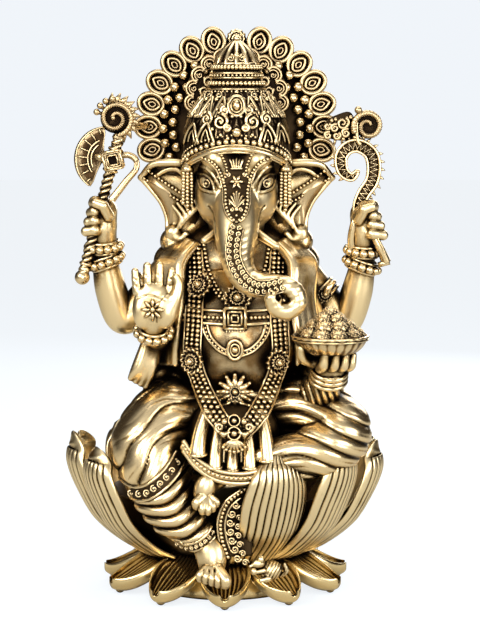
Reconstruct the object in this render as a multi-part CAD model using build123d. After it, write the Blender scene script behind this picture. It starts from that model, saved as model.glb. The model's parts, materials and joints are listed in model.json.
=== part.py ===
"""Seated four-armed elephant-headed idol on a double lotus, cast in brass.

The idol is cast in sections by the lost-wax way, and the sections are brazed together. Each section
is its own solid here, and it ends on the surface of the sections that it is brazed to. Where a joint
carries load, such as at a shoulder, the neck or the crown, one section also has a round tenon that
enters a bore of the other.

Millimetres. +Z up, the idol faces -Y, and the origin is the centre of the foot rim on the table.
"right" and "left" are the idol's own right (-X) and left (+X).
"""

from build123d import *
import os
from math import atan2, cos, degrees, radians, sin

# Driving dimensions
BODY_X = 6.0            # the figure sits a little off the lotus's own centre line
BORE_GAP = 0.1          # clear space round a tenon in its bore
TENON_R = 3.0
TENON_DEPTH = 7.0       # how far a tenon reaches into each of its two sections
PLATE = 3.0             # thickness of a cast ornamental plate
BEAD_R = 2.6            # bead of the halo, and half the thickness of a bangle

# Lotus
FOOT_R = 44.0           # outside of the foot rim
FOOT_WALL = 5.0
FOOT_TOP = 20.0         # where the cup sits on the foot
SPIGOT_R = 20.0         # bore in the top of the foot, for the round spigot under the cup
LOWER_PETALS = 11
LOWER_TIP_R = 64.0
CUP_PETALS = 10
CUP_FIRST_ANGLE = 20.0  # the gap between the last and the first petal holds the hanging leg
CUP_STEP = 29.5
CUP_TIP_X = 78.0        # the cup is wider than it is deep
CUP_TIP_Y = 62.0
SEAT_TOP = 62.0

# Figure
TORSO_WALL = 5.0
TORSO = (                # centre and half sizes of the belly, chest and hips
    ((BODY_X, -10.0, 130.0), (37.0, 34.0, 37.0)),
    ((BODY_X, 1.0, 163.0), (36.0, 21.0, 25.0)),
    ((BODY_X, 0.0, 90.0), (44.0, 30.0, 27.0)),
)
SKULL = ((BODY_X, -12.0, 213.0), (22.5, 25.0, 28.0))
CROWN_BASE = 231.0
CROWN_TOP = 289.0
CROWN_Y = -6.0

# Halo
HALO_Y = 19.0           # front face of the halo plate
HALO_Z = 243.0
HALO_R = 46.0
FEATHERS_PER_SIDE = 7
FEATHER_STEP = 15.0
FEATHER_RING_R = 46.6
BEADS_PER_RING = 19
BEAD_STEP = 11.4


def ball(centre, radius):
    """A sphere at a point."""
    return Pos(*centre) * Sphere(radius)


def egg(centre, rx, ry, rz):
    """An ellipsoid with its axes along X, Y and Z."""
    return Pos(*centre) * scale(Sphere(1.0), by=(rx, ry, rz))


def rod(start, end, r0, r1=None):
    """A straight cylinder or cone from one point to another."""
    start, end = Vector(*start), Vector(*end)
    r1 = r0 if r1 is None else r1
    plane = Plane(origin=start, z_dir=end - start)
    height = (end - start).length
    base = (Align.CENTER, Align.CENTER, Align.MIN)
    if abs(r0 - r1) < 1e-3:
        return plane * Cylinder(r0, height, align=base)
    return plane * Cone(r0, r1, height, align=base)


def limb(*stations):
    """A tapering limb through (x, y, z, radius) stations: a ball at each, and a cone between two."""
    neck = 0.96  # the cones are a little thinner than the balls, so that they meet at an angle
    body = ball(stations[0][:3], stations[0][3])
    for a, b in zip(stations, stations[1:]):
        body += rod(a[:3], b[:3], neck * a[3], neck * b[3])
        body += ball(b[:3], b[3])
    return body


def largest(shape):
    """The largest solid of a shape."""
    return max(shape.solids(), key=lambda solid: solid.volume)


def meet(box_a, box_b):
    """Whether two bounding boxes overlap."""
    low = [max(p, q) for p, q in zip(box_a.min, box_b.min)]
    high = [min(p, q) for p, q in zip(box_a.max, box_b.max)]
    return all(p < q for p, q in zip(low, high))


def plate(outline, y_front, thickness=PLATE):
    """A flat plate standing in X and Z, with its front face at y_front, from a sketch in X and Z."""
    sheet = Plane.XZ.offset(-y_front) * outline
    return extrude(sheet, amount=-thickness)


def around(radius, angle, centre=(0.0, 0.0)):
    """A point at an angle on a circle in X and Z. 0 is along +X, 90 is up."""
    return centre[0] + radius * cos(radians(angle)), centre[1] + radius * sin(radians(angle))


# ---------------------------------------------------------------- lotus

def lotus_base():
    """The hollow foot with its splayed lower petals, each on a small knob that reaches the table."""
    base = (Align.CENTER, Align.CENTER, Align.MIN)
    foot = Cone(FOOT_R, FOOT_R - 8, FOOT_TOP, align=base)
    petal = egg((0, 0, 0), 12.0, 22.0, 4.5) - egg((0, 0, 9.0), 10.5, 19.0, 8.5)
    petal = Pos(0, -(LOWER_TIP_R - 21.0), 12.5) * Rot(19, 0, 0) * petal
    knob = Pos(0, -(LOWER_TIP_R - 4.5), 0) * Cylinder(2.8, 7.0, align=base)
    one = petal + knob
    body = foot
    for i in range(LOWER_PETALS):
        body += Rot(0, 0, 360.0 * i / LOWER_PETALS) * one
    body -= Cone(FOOT_R - FOOT_WALL, FOOT_R - 8 - FOOT_WALL, FOOT_TOP - 4.0, align=base)
    body -= Pos(0, 0, FOOT_TOP - 6.0) * Cylinder(SPIGOT_R, 12.0, align=base)
    above = Pos(0, 0, FOOT_TOP) * Cylinder(FOOT_R - 8, 20.0, align=base)
    return body - above


def cup_petal(angle):
    """One tall upper petal: a thin leaf leaning out over the foot."""
    reach = (CUP_TIP_X * sin(radians(angle)), -CUP_TIP_Y * cos(radians(angle)))
    radius = (reach[0] ** 2 + reach[1] ** 2) ** 0.5
    lean = degrees(atan2(radius - 36.0, 56.0))
    leaf = egg((0, 0, 0), 15.5, 8.5, 33.0) - egg((0, 6.0, 2.0), 14.0, 9.5, 34.0)
    leaf = Pos(0, -(radius + 30.0) / 2 - 1.0, 50.0) * Rot(lean, 0, 0) * leaf
    heading = degrees(atan2(reach[0], -reach[1]))
    return Rot(0, 0, heading) * leaf


def lotus_cup():
    """The upper ring of tall petals on a collar with a spigot that drops into the foot."""
    base = (Align.CENTER, Align.CENTER, Align.MIN)
    body = Pos(0, 0, FOOT_TOP) * Cone(34.0, 40.0, 14.0, align=base)
    for i in range(CUP_PETALS):
        body += cup_petal(CUP_FIRST_ANGLE + i * CUP_STEP)
    body -= Pos(0, 0, FOOT_TOP) * Cylinder(90.0, 40.0, align=(Align.CENTER, Align.CENTER, Align.MAX))
    body += Pos(0, 0, FOOT_TOP - 5.0) * Cylinder(SPIGOT_R - BORE_GAP, 8.0, align=base)
    return body - Cylinder(SPIGOT_R - 5.0, 100.0)


def lotus_seat():
    """The seed pod that the figure sits on: a shallow hollow bowl, wider than it is deep."""
    base = (Align.CENTER, Align.CENTER, Align.MIN)
    pod = Cone(30.0, 46.0, SEAT_TOP - 34.5, align=base)
    pod -= Cone(26.0, 41.0, SEAT_TOP - 38.5, align=base)
    return Pos(0, 2, 34.5) * scale(pod, by=(1.1, 0.88, 1.0))


# ---------------------------------------------------------------- figure

def torso_shape(inset):
    """Belly, chest and hips, each made smaller by inset."""
    shapes = [egg(centre, *(half - inset for half in halves)) for centre, halves in TORSO]
    return shapes[0] + shapes[1] + shapes[2]


def torso():
    """Belly, chest, shoulders and hips, cut flat where they sit on the seed pod."""
    under = Pos(0, 0, SEAT_TOP) * Box(200, 200, 60, align=(Align.CENTER, Align.CENTER, Align.MAX))
    return torso_shape(0.0) - under


def torso_core():
    """The hollow inside the torso, with the hole underneath where the core came out."""
    return torso_shape(TORSO_WALL) + Pos(BODY_X, 0, 80) * Cylinder(14.0, 40.0)


def front_of_torso(x, z):
    """How far forward the torso's surface lies, at a place seen from the front."""
    fronts = [0.0]
    for (cx, cy, cz), (rx, ry, rz) in TORSO:
        inside = 1 - ((x - cx) / rx) ** 2 - ((z - cz) / rz) ** 2
        fronts.append(cy - ry * max(inside, 0.0) ** 0.5)
    return min(fronts)


def right_leg():
    """The draped leg that hangs over the front of the lotus."""
    return limb((-20, -14, 96, 21), (-45, -34, 86, 22.5), (-33, -44, 62, 18), (-12, -49, 43, 12.5))


def left_leg():
    """The draped leg folded across the lap."""
    return limb((32, -12, 94, 20), (57, -29, 91, 18.5), (36, -40, 85, 12.0), (4, -45, 78, 8.5))


def right_foot():
    """The hanging foot, toes down on the front petal."""
    foot = egg((0, 0, 0), 8.0, 7.0, 12.0)
    return Pos(-6.0, -57.5, 27.5) * Rot(-22, 0, 0) * foot


def left_foot():
    """The foot of the folded leg, showing its sole and toes below the apron."""
    return Pos(-9.0, -61.0, 59.0) * Rot(0, 24, 0) * egg((0, 0, 0), 6.5, 5.0, 9.5)


def head():
    """The elephant's skull and cheeks on a short neck."""
    centre, halves = SKULL
    skull = egg(centre, *halves)
    neck = Pos(BODY_X, 0, 190) * Cylinder(15.0, 16.0)
    return skull + neck


def trunk():
    """The trunk: down the middle of the chest, then across to the idol's left and curled."""
    return limb(
        (BODY_X, -37, 199, 11.5), (5.5, -46, 183, 9.5), (8.5, -53, 172, 7.6), (15, -57, 166.5, 6.4),
        (23, -60, 166, 5.9), (30, -61, 168, 5.4), (36.5, -61, 166.5, 5.0), (39, -61, 160.5, 4.8),
        (36, -61, 154.5, 4.5), (29.5, -62, 153.5, 4.2), (26, -63, 158.5, 3.8),
    )


def tusk(side, length):
    """One tusk, from the cheek forward, out and down. The right one is broken short."""
    root = Vector(BODY_X + side * 11.5, -34, 190)
    tip = root + Vector(side * 0.55, -0.35, -0.75) * length
    return rod(tuple(root), tuple(tip), 2.6, 1.3)


def tusks():
    """Both tusks."""
    return [tusk(-1, 7.0), tusk(1, 13.0)]


def ear(side):
    """A folded ear: a plate with a pointed upper corner and a small lobe at the bottom."""
    x0 = BODY_X
    rim = Spline(
        (x0 + side * 21, 224), (x0 + side * 33, 226), (x0 + side * 48, 217.5),
        (x0 + side * 40, 208), (x0 + side * 34, 196), (x0 + side * 33, 186), (x0 + side * 24, 184),
    )
    edge = Line(rim @ 1, rim @ 0)
    return plate(make_face([rim, edge]), -4.0, 5.0)


def right_ear():
    """The ear on the idol's right."""
    return ear(-1)


def left_ear():
    """The ear on the idol's left."""
    return ear(1)


def forehead_plate():
    """The pointed ornament that lies on the forehead and down the root of the trunk."""
    top, middle, tip, thickness = 229.0, 214.0, 196.5, 1.6
    sides = []
    for side in (-1, 1):
        points = ((BODY_X + side * 8.5, top), (BODY_X + side * 5.5, middle), (BODY_X + side * 4.5, 204.0), (BODY_X, tip))
        sides.append(Spline(*points))
    outline = make_face(sides + [Line(sides[0] @ 0, sides[1] @ 0)])
    centre, halves = SKULL
    face = egg(centre, *(half + thickness for half in halves)) + ball((BODY_X, -37, 199), 11.5 + thickness)
    return plate(outline, -60.0, 40.0) & face


def side_tassels():
    """Two hanging strings of beads beside the face, with a cap at the top."""
    parts = []
    for side in (-1, 1):
        x = BODY_X + side * 26.5
        string = Pos(x, -14.0, 213.5) * Box(5.5, 3.5, 20.0)
        cap = Pos(x, -14.0, 225.5) * Cone(3.4, 1.2, 4.0)
        parts.append(string + cap)
    return parts


# ---------------------------------------------------------------- crown and halo

def crown_bulb():
    """The lower crown: a domed cap with a round brim above the forehead."""
    dome = egg((BODY_X, CROWN_Y, 241.0), 27.5, 27.0, 24.0)
    low = Pos(BODY_X, 0, CROWN_BASE) * Rot(12, 0, 0) * Box(120, 120, 80, align=(Align.CENTER, Align.CENTER, Align.MAX))
    brim = Pos(BODY_X, CROWN_Y, CROWN_BASE + 2.6) * Rot(12, 0, 0) * Torus(26.0, 2.0)
    return dome - low + brim


def crown_core():
    """The hollow inside the crown's dome."""
    return egg((BODY_X, CROWN_Y, 243.0), 23.0, 22.5, 18.0)


def crown_tiers():
    """Three stacked rings between the bulb and the ribbed dome."""
    base = (Align.CENTER, Align.CENTER, Align.MIN)
    stack = Pos(BODY_X, CROWN_Y, 264.0) * Cylinder(13.0, 11.5, align=base)
    for level, radius in ((265.5, 13.0), (269.5, 13.6), (273.8, 12.4)):
        stack += Pos(BODY_X, CROWN_Y, level) * Torus(radius, 1.7)
    return stack


def crown_dome():
    """The ribbed pointed dome on top of the tiers."""
    profile = Spline((10.5, 0), (9.0, 6.0), (5.0, 11.0), (1.2, CROWN_TOP - 275.65))
    face = make_face([
        profile, Line((1.2, CROWN_TOP - 275.65), (0, CROWN_TOP - 275.65)),
        Line((0, CROWN_TOP - 275.65), (0, 0)), Line((0, 0), (10.5, 0)),
    ])
    return Pos(BODY_X, CROWN_Y, 275.65) * revolve(Plane.XZ * face, Axis.Z)


def crown_crest():
    """The pierced, scalloped plate behind the crown."""
    outline = Circle(25.0)
    for i in range(7):
        angle = 15 + 25 * i
        outline += Pos(*around(22.5, angle)) * Circle(7.0)
    outline -= Pos(0, -18) * Rectangle(80, 30)
    return plate(Pos(BODY_X, 246.0) * outline, 12.0, 3.5)


def halo_plate():
    """The disc that carries the feathers and beads, with a flat lower edge."""
    disc = Circle(HALO_R) - Pos(0, -HALO_R - 14) * Rectangle(2 * HALO_R, 2 * HALO_R)
    return plate(Pos(BODY_X, HALO_Z) * disc, HALO_Y, PLATE)


def feather_angles():
    """Where the feathers stand, on both sides of the knob at the top."""
    return [90 + side * FEATHER_STEP * k for k in range(1, FEATHERS_PER_SIDE + 1) for side in (-1, 1)]


def halo_feathers():
    """The feather eyes round the halo: oval plates standing in front of the disc's edge."""
    eyes = []
    for angle in feather_angles():
        x, z = around(FEATHER_RING_R, angle, (BODY_X, HALO_Z))
        eye = Pos(x, z) * Rot(0, 0, angle) * Ellipse(6.2, 5.3)
        eyes.append(plate(eye, HALO_Y - 4.0, 4.0))
    return eyes


def halo_beads():
    """Two rings of round beads inside the feathers, half sunk in the disc."""
    beads = []
    for radius, count in ((37.6, BEADS_PER_RING), (32.0, BEADS_PER_RING - 1)):
        for i in range(count):
            angle = 90 + (i - (count - 1) / 2) * BEAD_STEP
            x, z = around(radius, angle, (BODY_X, HALO_Z))
            beads.append(ball((x, HALO_Y - 1.2, z), BEAD_R))
    return beads


def halo_knob():
    """The round knob at the top of the halo."""
    return ball((BODY_X, HALO_Y, HALO_Z + HALO_R + 0.5), 5.0)


# ---------------------------------------------------------------- arms and what they hold

def rear_right_arm():
    """Raised rear arm with the fist that holds the axe."""
    arm = limb((-28, 7, 168, 11), (-48, 6, 141, 9.5), (-61, 1, 170, 7.2))
    palm = egg((-61.0, -2.5, 191.5), 7.5, 8.0, 13.5)
    fingers = egg((-70.5, -8.5, 198.0), 5.5, 5.5, 9.5)
    return arm + rod((-61, 1, 170), (-61, -1, 186), 6.9, 6.0) + palm + fingers


def rear_left_arm():
    """Raised rear arm with the fist that holds the goad."""
    arm = limb((40, 7, 168, 11), (60, 6, 139, 9.5), (70, 1, 170, 7.2))
    palm = egg((71.0, -2.5, 189.5), 7.0, 8.0, 12.5)
    fingers = egg((79.5, -8.5, 195.0), 5.5, 5.5, 9.5)
    return arm + rod((70, 1, 170), (70.5, -1, 186), 6.9, 6.0) + palm + fingers


def front_right_arm():
    """Front arm bent forward, its open palm facing out in blessing."""
    arm = limb((-24, -2, 165, 11), (-38, -10, 134, 10), (-38.5, -36, 141, 7.0))
    palm = egg((-37.0, -43.0, 153.5), 11.0, 4.2, 11.5)
    hand = palm + rod((-38.5, -36, 141), (-38, -41.5, 147), 6.4, 5.4)
    for root_x, tip_x, tip_z in ((-45.0, -44.5, 171.5), (-40.0, -39.2, 175.5), (-35.0, -34.3, 176.0), (-30.5, -30.0, 172.0)):
        hand += rod((root_x, -43, 158), (tip_x, -42, tip_z), 2.5, 2.0) + ball((tip_x, -42, tip_z), 2.1)
    hand += rod((-30.5, -44, 152), (-27.0, -43, 165), 2.9, 2.2) + ball((-27, -43, 165), 2.3)
    return arm + hand


def front_left_arm():
    """Front arm lying along the body, its hand under the bowl of sweets."""
    arm = limb((36, -2, 165, 11), (44, -12, 136, 9.5), (50, -36, 119, 7.5))
    hand = egg((57.0, -50.0, 124.0), 11.5, 9.5, 5.0)
    return arm + rod((50, -36, 119), (56, -47, 122.5), 7.2, 4.5) + hand


def wrists():
    """Where each bangle sits: its centre, the direction along the forearm, and its radius."""
    return [
        ((-61.0, 1.4, 167.0), (-0.35, -0.1, 1.0), 9.6), ((-61.0, 0.4, 174.6), (-0.1, -0.1, 1.0), 9.6),
        ((69.6, 1.4, 165.5), (0.3, -0.1, 1.0), 9.6), ((70.4, 0.4, 173.4), (0.1, -0.1, 1.0), 9.6),
        ((-38.5, -33.0, 140.2), (0.0, -1.0, 0.35), 9.4),
    ]


def bangles():
    """Two bangles on each raised wrist and one on the blessing hand's."""
    return [Plane(origin=at, z_dir=way) * Torus(radius, BEAD_R) for at, way, radius in wrists()]


def axe_shaft():
    """The axe's handle, through the fist, with a ball at its lower end."""
    return rod(AXE_FOOT, AXE_TOP, 2.5) + ball(AXE_FOOT, 4.0)


AXE_FOOT, AXE_TOP = (-75.0, -8.0, 165.0), (-55.0, -8.0, 238.0)
GOAD_FOOT, GOAD_NECK = (84.0, -8.0, 172.0), (72.5, -8.0, 203.0)


def on_axe(share):
    """A point on the axe's handle: 0 at its foot, 1 at its top."""
    return tuple(a + (b - a) * share for a, b in zip(AXE_FOOT, AXE_TOP))


def axe_head():
    """Fan-shaped blade on a square eye that slides over the handle."""
    x, _, z = on_axe(0.83)
    blade = Circle(21.0) - Circle(8.0)
    wedge = Polyline((0, 0), (-40, 22), (-40, -26), (0, 0))
    fan = Pos(x + 3.0, z) * (blade & make_face(wedge))
    eye = Pos(x, -8.0, z) * Rot(0, 14, 0) * Box(11.0, 9.5, 11.0)
    return plate(fan, -9.5, 3.0) + eye


def axe_scroll():
    """The curled crest above the axe, which also ties it to the halo."""
    disc = Circle(9.5) + Pos(9.0, 0) * Circle(5.5)
    crest = plate(Pos(-56.0, 249.0) * disc, -10.0, 5.0)
    socket = rod(on_axe(0.93), (-56.0, -8.0, 244.0), 3.6, 3.0)
    return crest + socket


def axe_tassel():
    """The curved tassel from the back of the axe's eye down to the wrist."""
    path = Spline((-51.5, -9, 226.8), (-46.5, -10, 222), (-50, -11, 212.0), (-57.5, -13.5, 204.5))
    start = Plane(origin=path @ 0, z_dir=path % 0)
    return sweep(start * Circle(1.7), path=path)


def goad_hook():
    """The goad: a straight grip in the fist that runs into a large open curl."""
    path = Spline(
        (72.5, -8, 200), (75.0, -8, 211), (78.6, -8, 221), (76.0, -8, 230.5), (69.0, -8, 234.0),
        (61.6, -8, 230.5), (59.4, -8, 223.0), (63.5, -8, 217.0), (69.5, -8, 218.5),
    )
    start = Plane(origin=path @ 0, z_dir=path % 0)
    return sweep(start * Circle(3.0), path=path)


def goad_grip():
    """The pointed foot of the goad below the fist."""
    return rod(GOAD_FOOT, GOAD_NECK, 1.6, 2.8)


def goad_crest():
    """The scrolled crest on the curl, which also ties the goad to the halo."""
    outline = Pos(76.0, 243.5) * Circle(6.6) + Pos(65.0, 243.5) * Circle(6.0) + Pos(57.5, 243.0) * Circle(4.2)
    return plate(outline, -10.5, 5.0) + ball((70.5, -8, 249.6), 2.8)


def halo_stays():
    """The short stays behind the two crests that reach back to the halo's outer feathers."""
    stays = []
    for side, x_outer in ((-1, -50.0), (1, 59.0)):
        stays.append(rod((x_outer, -6.5, 244.0), (BODY_X + side * FEATHER_RING_R, HALO_Y - 2.0, 243.5), 1.8))
    return stays


def sweets_bowl():
    """A flared bowl in the front left hand."""
    base = (Align.CENTER, Align.CENTER, Align.MIN)
    bowl = Cone(8.5, 19.0, 10.0, align=base)
    bowl -= Pos(0, 0, 2.2) * Cone(7.0, 18.0, 8.6, align=base)
    return Pos(53.5, -50.0, 129.3) * bowl


def sweets():
    """Ten round sweets in the bowl: one at the bottom, a ring of six, and three on top."""
    centre, radius = (53.5, -50.0), 4.35
    balls = [ball((*centre, 136.0), radius)]
    for count, ring, height, turn in ((6, 10.2, 139.7, 0), (3, 5.2, 146.0, 30)):
        for i in range(count):
            balls.append(ball((*around(ring, turn + 360 * i / count, centre), height), radius))
    return balls


# ---------------------------------------------------------------- cloth and ornaments

def shawl():
    """The folds of the shawl, from each shoulder down beside the belly."""
    right = limb((-20, -10, 172, 8.5), (-23, -15, 156, 8.0), (-25, -20, 138, 6.5))
    left = limb((32, -10, 172, 8.5), (35, -15, 156, 8.0), (37, -20, 138, 6.5))
    return [right, left]


def apron():
    """The pleated sash over the lap with its curved ornamental hem."""
    path = Spline((-19, -51, 79), (-8, -54.5, 67.5), (6, -56, 64.5), (22, -55, 65.5))
    start = Plane(origin=path @ 0, z_dir=path % 0)
    return sweep(start * Circle(3.0), path=path) + rod((6, -36, 106), (5, -47, 66), 8.0, 12.0)


def hem_panel():
    """The beaded cloth end that hangs between the shin and the front petal."""
    edge = Spline((9.5, 60), (0.5, 52), (-1.0, 40), (3.0, 29))
    outline = make_face([edge, Line((3.0, 29), (11.0, 30)), Line((11.0, 30), (9.5, 60))])
    return plate(outline, -58.0, 5.0)


def garland():
    """The long garland of bead strings: from both shoulders, round the belly to a point over the lap."""
    strings = []
    for side in (-1, 1):
        places = [(BODY_X + side * out, z) for out, z in ((18.0, 180.0), (22.0, 160.0), (22.5, 135.0), (17.0, 110.0))]
        points = [(x, front_of_torso(x, z) - 1.5, z) for x, z in places]
        path = Spline(*points, (BODY_X + side * 4.5, -51.0, 88.0))
        start = Plane(origin=path @ 0, z_dir=path % 0)
        strings.append(sweep(start * Circle(3.6), path=path))
    return strings


def flower(x, z, normal, radius, y=None):
    """A round medallion with a raised boss, on the torso unless y says how far forward it lies."""
    y = front_of_torso(x, z) - 4.0 if y is None else y
    plane = Plane(origin=(x, y, z), z_dir=normal)
    return plane * (Cylinder(radius, 3.6) + Pos(0, 0, 1.5) * Sphere(radius * 0.45))


def medallions():
    """Flower medallions on the garland."""
    return [
        flower(BODY_X - 21.5, 163.0, (-0.25, -1.0, 0.1), 6.0),
        flower(BODY_X - 22.5, 129.0, (-0.6, -1.0, -0.1), 6.0),
        flower(BODY_X + 22.5, 128.0, (0.6, -1.0, -0.1), 6.0),
        flower(BODY_X - 1.0, 88.5, (0.0, -1.0, 0.2), 6.5, -54.0),
    ]


def belly_band():
    """The band down the belly: a square buckle, an oval drop and a palmette, on a strap."""
    x = BODY_X - 0.5
    buckle = Pos(x, front_of_torso(x, 149) - 1.0, 149.0) * Rot(-24, 0, 0) * Box(12.0, 5.0, 12.0)
    drop = Pos(x, front_of_torso(x, 134) - 1.0, 134.0) * Rot(87, 0, 0) * Cylinder(5.5, 4.0)
    palmette = Pos(x, front_of_torso(x, 115) - 1.0, 115.0) * Rot(112, 0, 0) * Cylinder(8.0, 4.0)
    stops = [(x, front_of_torso(x, z) - 0.6, z) for z in (149.0, 141.0, 134.0, 124.0, 115.0)]
    strap = rod(stops[0], stops[1], 1.6)
    for a, b in zip(stops[1:], stops[2:]):
        strap += rod(a, b, 1.6)
    return strap + buckle + drop + palmette


def armlets():
    """Two armlets round the upper rear arms."""
    arms = (((-38.5, 6.5, 154.0), (-20, -1, -27)), ((50.0, 6.5, 153.5), (20, -1, -29)))
    return [Plane(origin=at, z_dir=way) * Torus(11.2, 1.6) for at, way in arms]


def mouse():
    """The small mouse that sits on a front petal, eating a sweet."""
    body = egg((22.5, -54.0, 18.0), 6.0, 4.5, 4.2) + ball((17.5, -56.0, 22.0), 3.0)
    body += rod((16.5, -57.0, 21.5), (14.0, -58.5, 20.5), 1.8, 0.8)
    for side in (-1, 1):
        body += ball((18.0 + side * 1.5, -54.5, 24.6), 1.4)
    return body


# ---------------------------------------------------------------- assembly

# Each section is cut back from all the sections above it in this list.
SECTIONS = {
    "torso": torso, "axe_shaft": axe_shaft, "goad_grip": goad_grip,
    "crown_bulb": crown_bulb, "head": head, "trunk": trunk,
    "right_leg": right_leg, "left_leg": left_leg, "right_foot": right_foot, "left_foot": left_foot,
    "lotus_base": lotus_base, "lotus_seat": lotus_seat, "lotus_cup": lotus_cup,
    "rear_right_arm": rear_right_arm, "rear_left_arm": rear_left_arm,
    "sweets_bowl": sweets_bowl, "front_right_arm": front_right_arm, "front_left_arm": front_left_arm,
    "sweets": sweets, "bangles": bangles, "armlets": armlets,
    "crown_tiers": crown_tiers, "crown_dome": crown_dome, "crown_crest": crown_crest,
    "halo_plate": halo_plate, "halo_knob": halo_knob, "halo_feathers": halo_feathers, "halo_beads": halo_beads,
    "axe_head": axe_head, "axe_scroll": axe_scroll, "axe_tassel": axe_tassel,
    "goad_hook": goad_hook, "goad_crest": goad_crest, "halo_stays": halo_stays,
    "right_ear": right_ear, "left_ear": left_ear, "tusks": tusks,
    "forehead_plate": forehead_plate, "side_tassels": side_tassels,
    "shawl": shawl, "apron": apron, "belly_band": belly_band,
    "medallions": medallions, "garland": garland, "hem_panel": hem_panel, "mouse": mouse,
}

# The section with the tenon, the one with the bore, a point on their seam, and the way into the bore.
TENONS = (
    ("rear_right_arm", "torso", (-25, 7, 168), (1, -0.1, -0.1)),
    ("rear_left_arm", "torso", (37, 7, 168), (-1, -0.1, -0.1)),
    ("front_right_arm", "torso", (-26, -7, 158), (1, 0.1, 0)),
    ("front_left_arm", "torso", (38, -7, 158), (-1, 0.1, 0)),
    ("head", "torso", (BODY_X, 0, 187), (0, 0, -1)),
    ("crown_bulb", "head", (BODY_X, CROWN_Y, 236), (0, 0, -1)),
    ("crown_tiers", "crown_bulb", (BODY_X, CROWN_Y, 264), (0, 0, -1)),
    ("crown_crest", "crown_bulb", (BODY_X, 13.5, 250), (0, -1, 0)),
    ("halo_plate", "crown_crest", (BODY_X, 19.0, 262), (0, -1, 0)),
    ("trunk", "head", (BODY_X, -35, 201), (0, 1, 0.3)),
    ("right_ear", "head", (BODY_X - 21.5, -6.5, 210), (1, 0, 0)),
    ("left_ear", "head", (BODY_X + 21.5, -6.5, 210), (-1, 0, 0)),
)


def cut_back(makers):
    """Makes each section and cuts it back from those before it, so that neighbours meet on a seam."""
    sections, earlier = {}, []
    for name, make in makers.items():
        made = make()
        pieces = []
        for piece in made if isinstance(made, list) else [made]:
            box = piece.bounding_box()
            for other, other_box in earlier:
                if meet(box, other_box):
                    piece = piece - other
            pieces.append(largest(piece))
        earlier += [(piece, piece.bounding_box()) for piece in pieces]
        sections[name] = pieces
    return sections


def add_tenons(sections):
    """Gives each load-bearing seam its tenon and bore."""
    boxes = {name: [piece.bounding_box() for piece in pieces] for name, pieces in sections.items()}
    for child, parent, seam, into in TENONS:
        way = Vector(*into).normalized() * TENON_DEPTH
        start, tip = Vector(*seam) - way, Vector(*seam) + way
        bore = rod(start, tip + way * 0.05, TENON_R + BORE_GAP)
        bore_box = bore.bounding_box()
        for name, pieces in sections.items():
            for i, piece in enumerate(pieces):
                if name != child and meet(boxes[name][i], bore_box):
                    pieces[i] = largest(piece - bore)
        sections[child] = [largest(sections[child][0] + rod(start, tip, TENON_R))]


def build():
    """Every section of the idol, by node name."""
    sections = cut_back(SECTIONS)
    sections["torso"] = [largest(sections["torso"][0] - torso_core())]
    sections["crown_bulb"] = [largest(sections["crown_bulb"][0] - crown_core())]
    add_tenons(sections)
    return sections


if __name__ == "__main__":
    os.makedirs("parts", exist_ok=True)
    for name, pieces in build().items():
        shape = pieces[0] if len(pieces) == 1 else Compound(children=pieces)
        export_step(shape, f"parts/{name}.step")
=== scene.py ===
"""Looks of the seated elephant-headed idol, in antique brass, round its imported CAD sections.

Rounded sections are pressed together in blocks of small cells ("clay") and skinned; beads, cords, medallions
and leaves are meshed directly. Sizes are millimetres in the row frame, and each mesh is made in metres.
The idol faces -Y. "right" and "left" are the idol's own: its right hand is at -X.
"""

import json
import math

import bmesh
import bpy
import numpy as np
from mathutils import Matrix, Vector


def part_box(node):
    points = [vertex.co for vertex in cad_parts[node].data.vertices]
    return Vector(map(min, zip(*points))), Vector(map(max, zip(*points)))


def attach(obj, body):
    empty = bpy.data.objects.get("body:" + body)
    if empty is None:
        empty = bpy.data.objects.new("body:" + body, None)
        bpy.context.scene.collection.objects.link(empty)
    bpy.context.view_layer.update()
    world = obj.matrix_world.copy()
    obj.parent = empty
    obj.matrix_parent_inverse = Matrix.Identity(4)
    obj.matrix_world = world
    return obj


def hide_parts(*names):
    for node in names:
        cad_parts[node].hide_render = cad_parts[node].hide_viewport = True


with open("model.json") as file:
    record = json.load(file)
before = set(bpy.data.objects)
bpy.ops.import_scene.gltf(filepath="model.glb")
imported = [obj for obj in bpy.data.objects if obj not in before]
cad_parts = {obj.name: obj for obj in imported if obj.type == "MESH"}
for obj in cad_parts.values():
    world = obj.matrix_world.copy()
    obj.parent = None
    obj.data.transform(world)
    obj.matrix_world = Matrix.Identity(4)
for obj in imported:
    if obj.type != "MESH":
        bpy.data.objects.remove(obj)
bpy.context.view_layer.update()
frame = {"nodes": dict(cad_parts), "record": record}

import openvdb
from mathutils import Vector

MM = 0.001
PI = math.pi
FINE = 0.45      # cell of the head, hands and feet
COARSE = 0.6     # cell of the body, legs and lotus
FORWARD = (0, -1, 0)


# ---------------------------------------------------------------- places

def low(node):
    """The lowest corner of a CAD node's box, in mm."""
    return np.array(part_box(node)[0]) / MM


def high(node):
    """The highest corner of a CAD node's box, in mm."""
    return np.array(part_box(node)[1]) / MM


def middle(node):
    """The centre of a CAD node's box, in mm."""
    return (low(node) + high(node)) / 2


def offsets_from(origin):
    """A function that gives places, and what follows them such as a radius, as offsets from an origin."""
    def place(*offsets):
        return np.concatenate([origin + np.array(offsets[:3]), offsets[3:]])
    return place


AXIS = middle("head")[0]                    # the figure's own centre line
EYE_LEVEL = np.array([AXIS, middle("head")[1], middle("side_tassels")[2]])
CROWN = middle("crown_tiers")
DOME = np.array([AXIS, middle("crown_bulb")[1], low("crown_bulb")[2] + 14.0])   # the crown's widest level
HALO_CENTRE_Z = middle("halo_knob")[2] - 46.5
TORSO = middle("torso")
LAP = np.array([AXIS, low("apron")[1], low("apron")[2] + 8.0])      # the middle of the apron's hem

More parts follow.
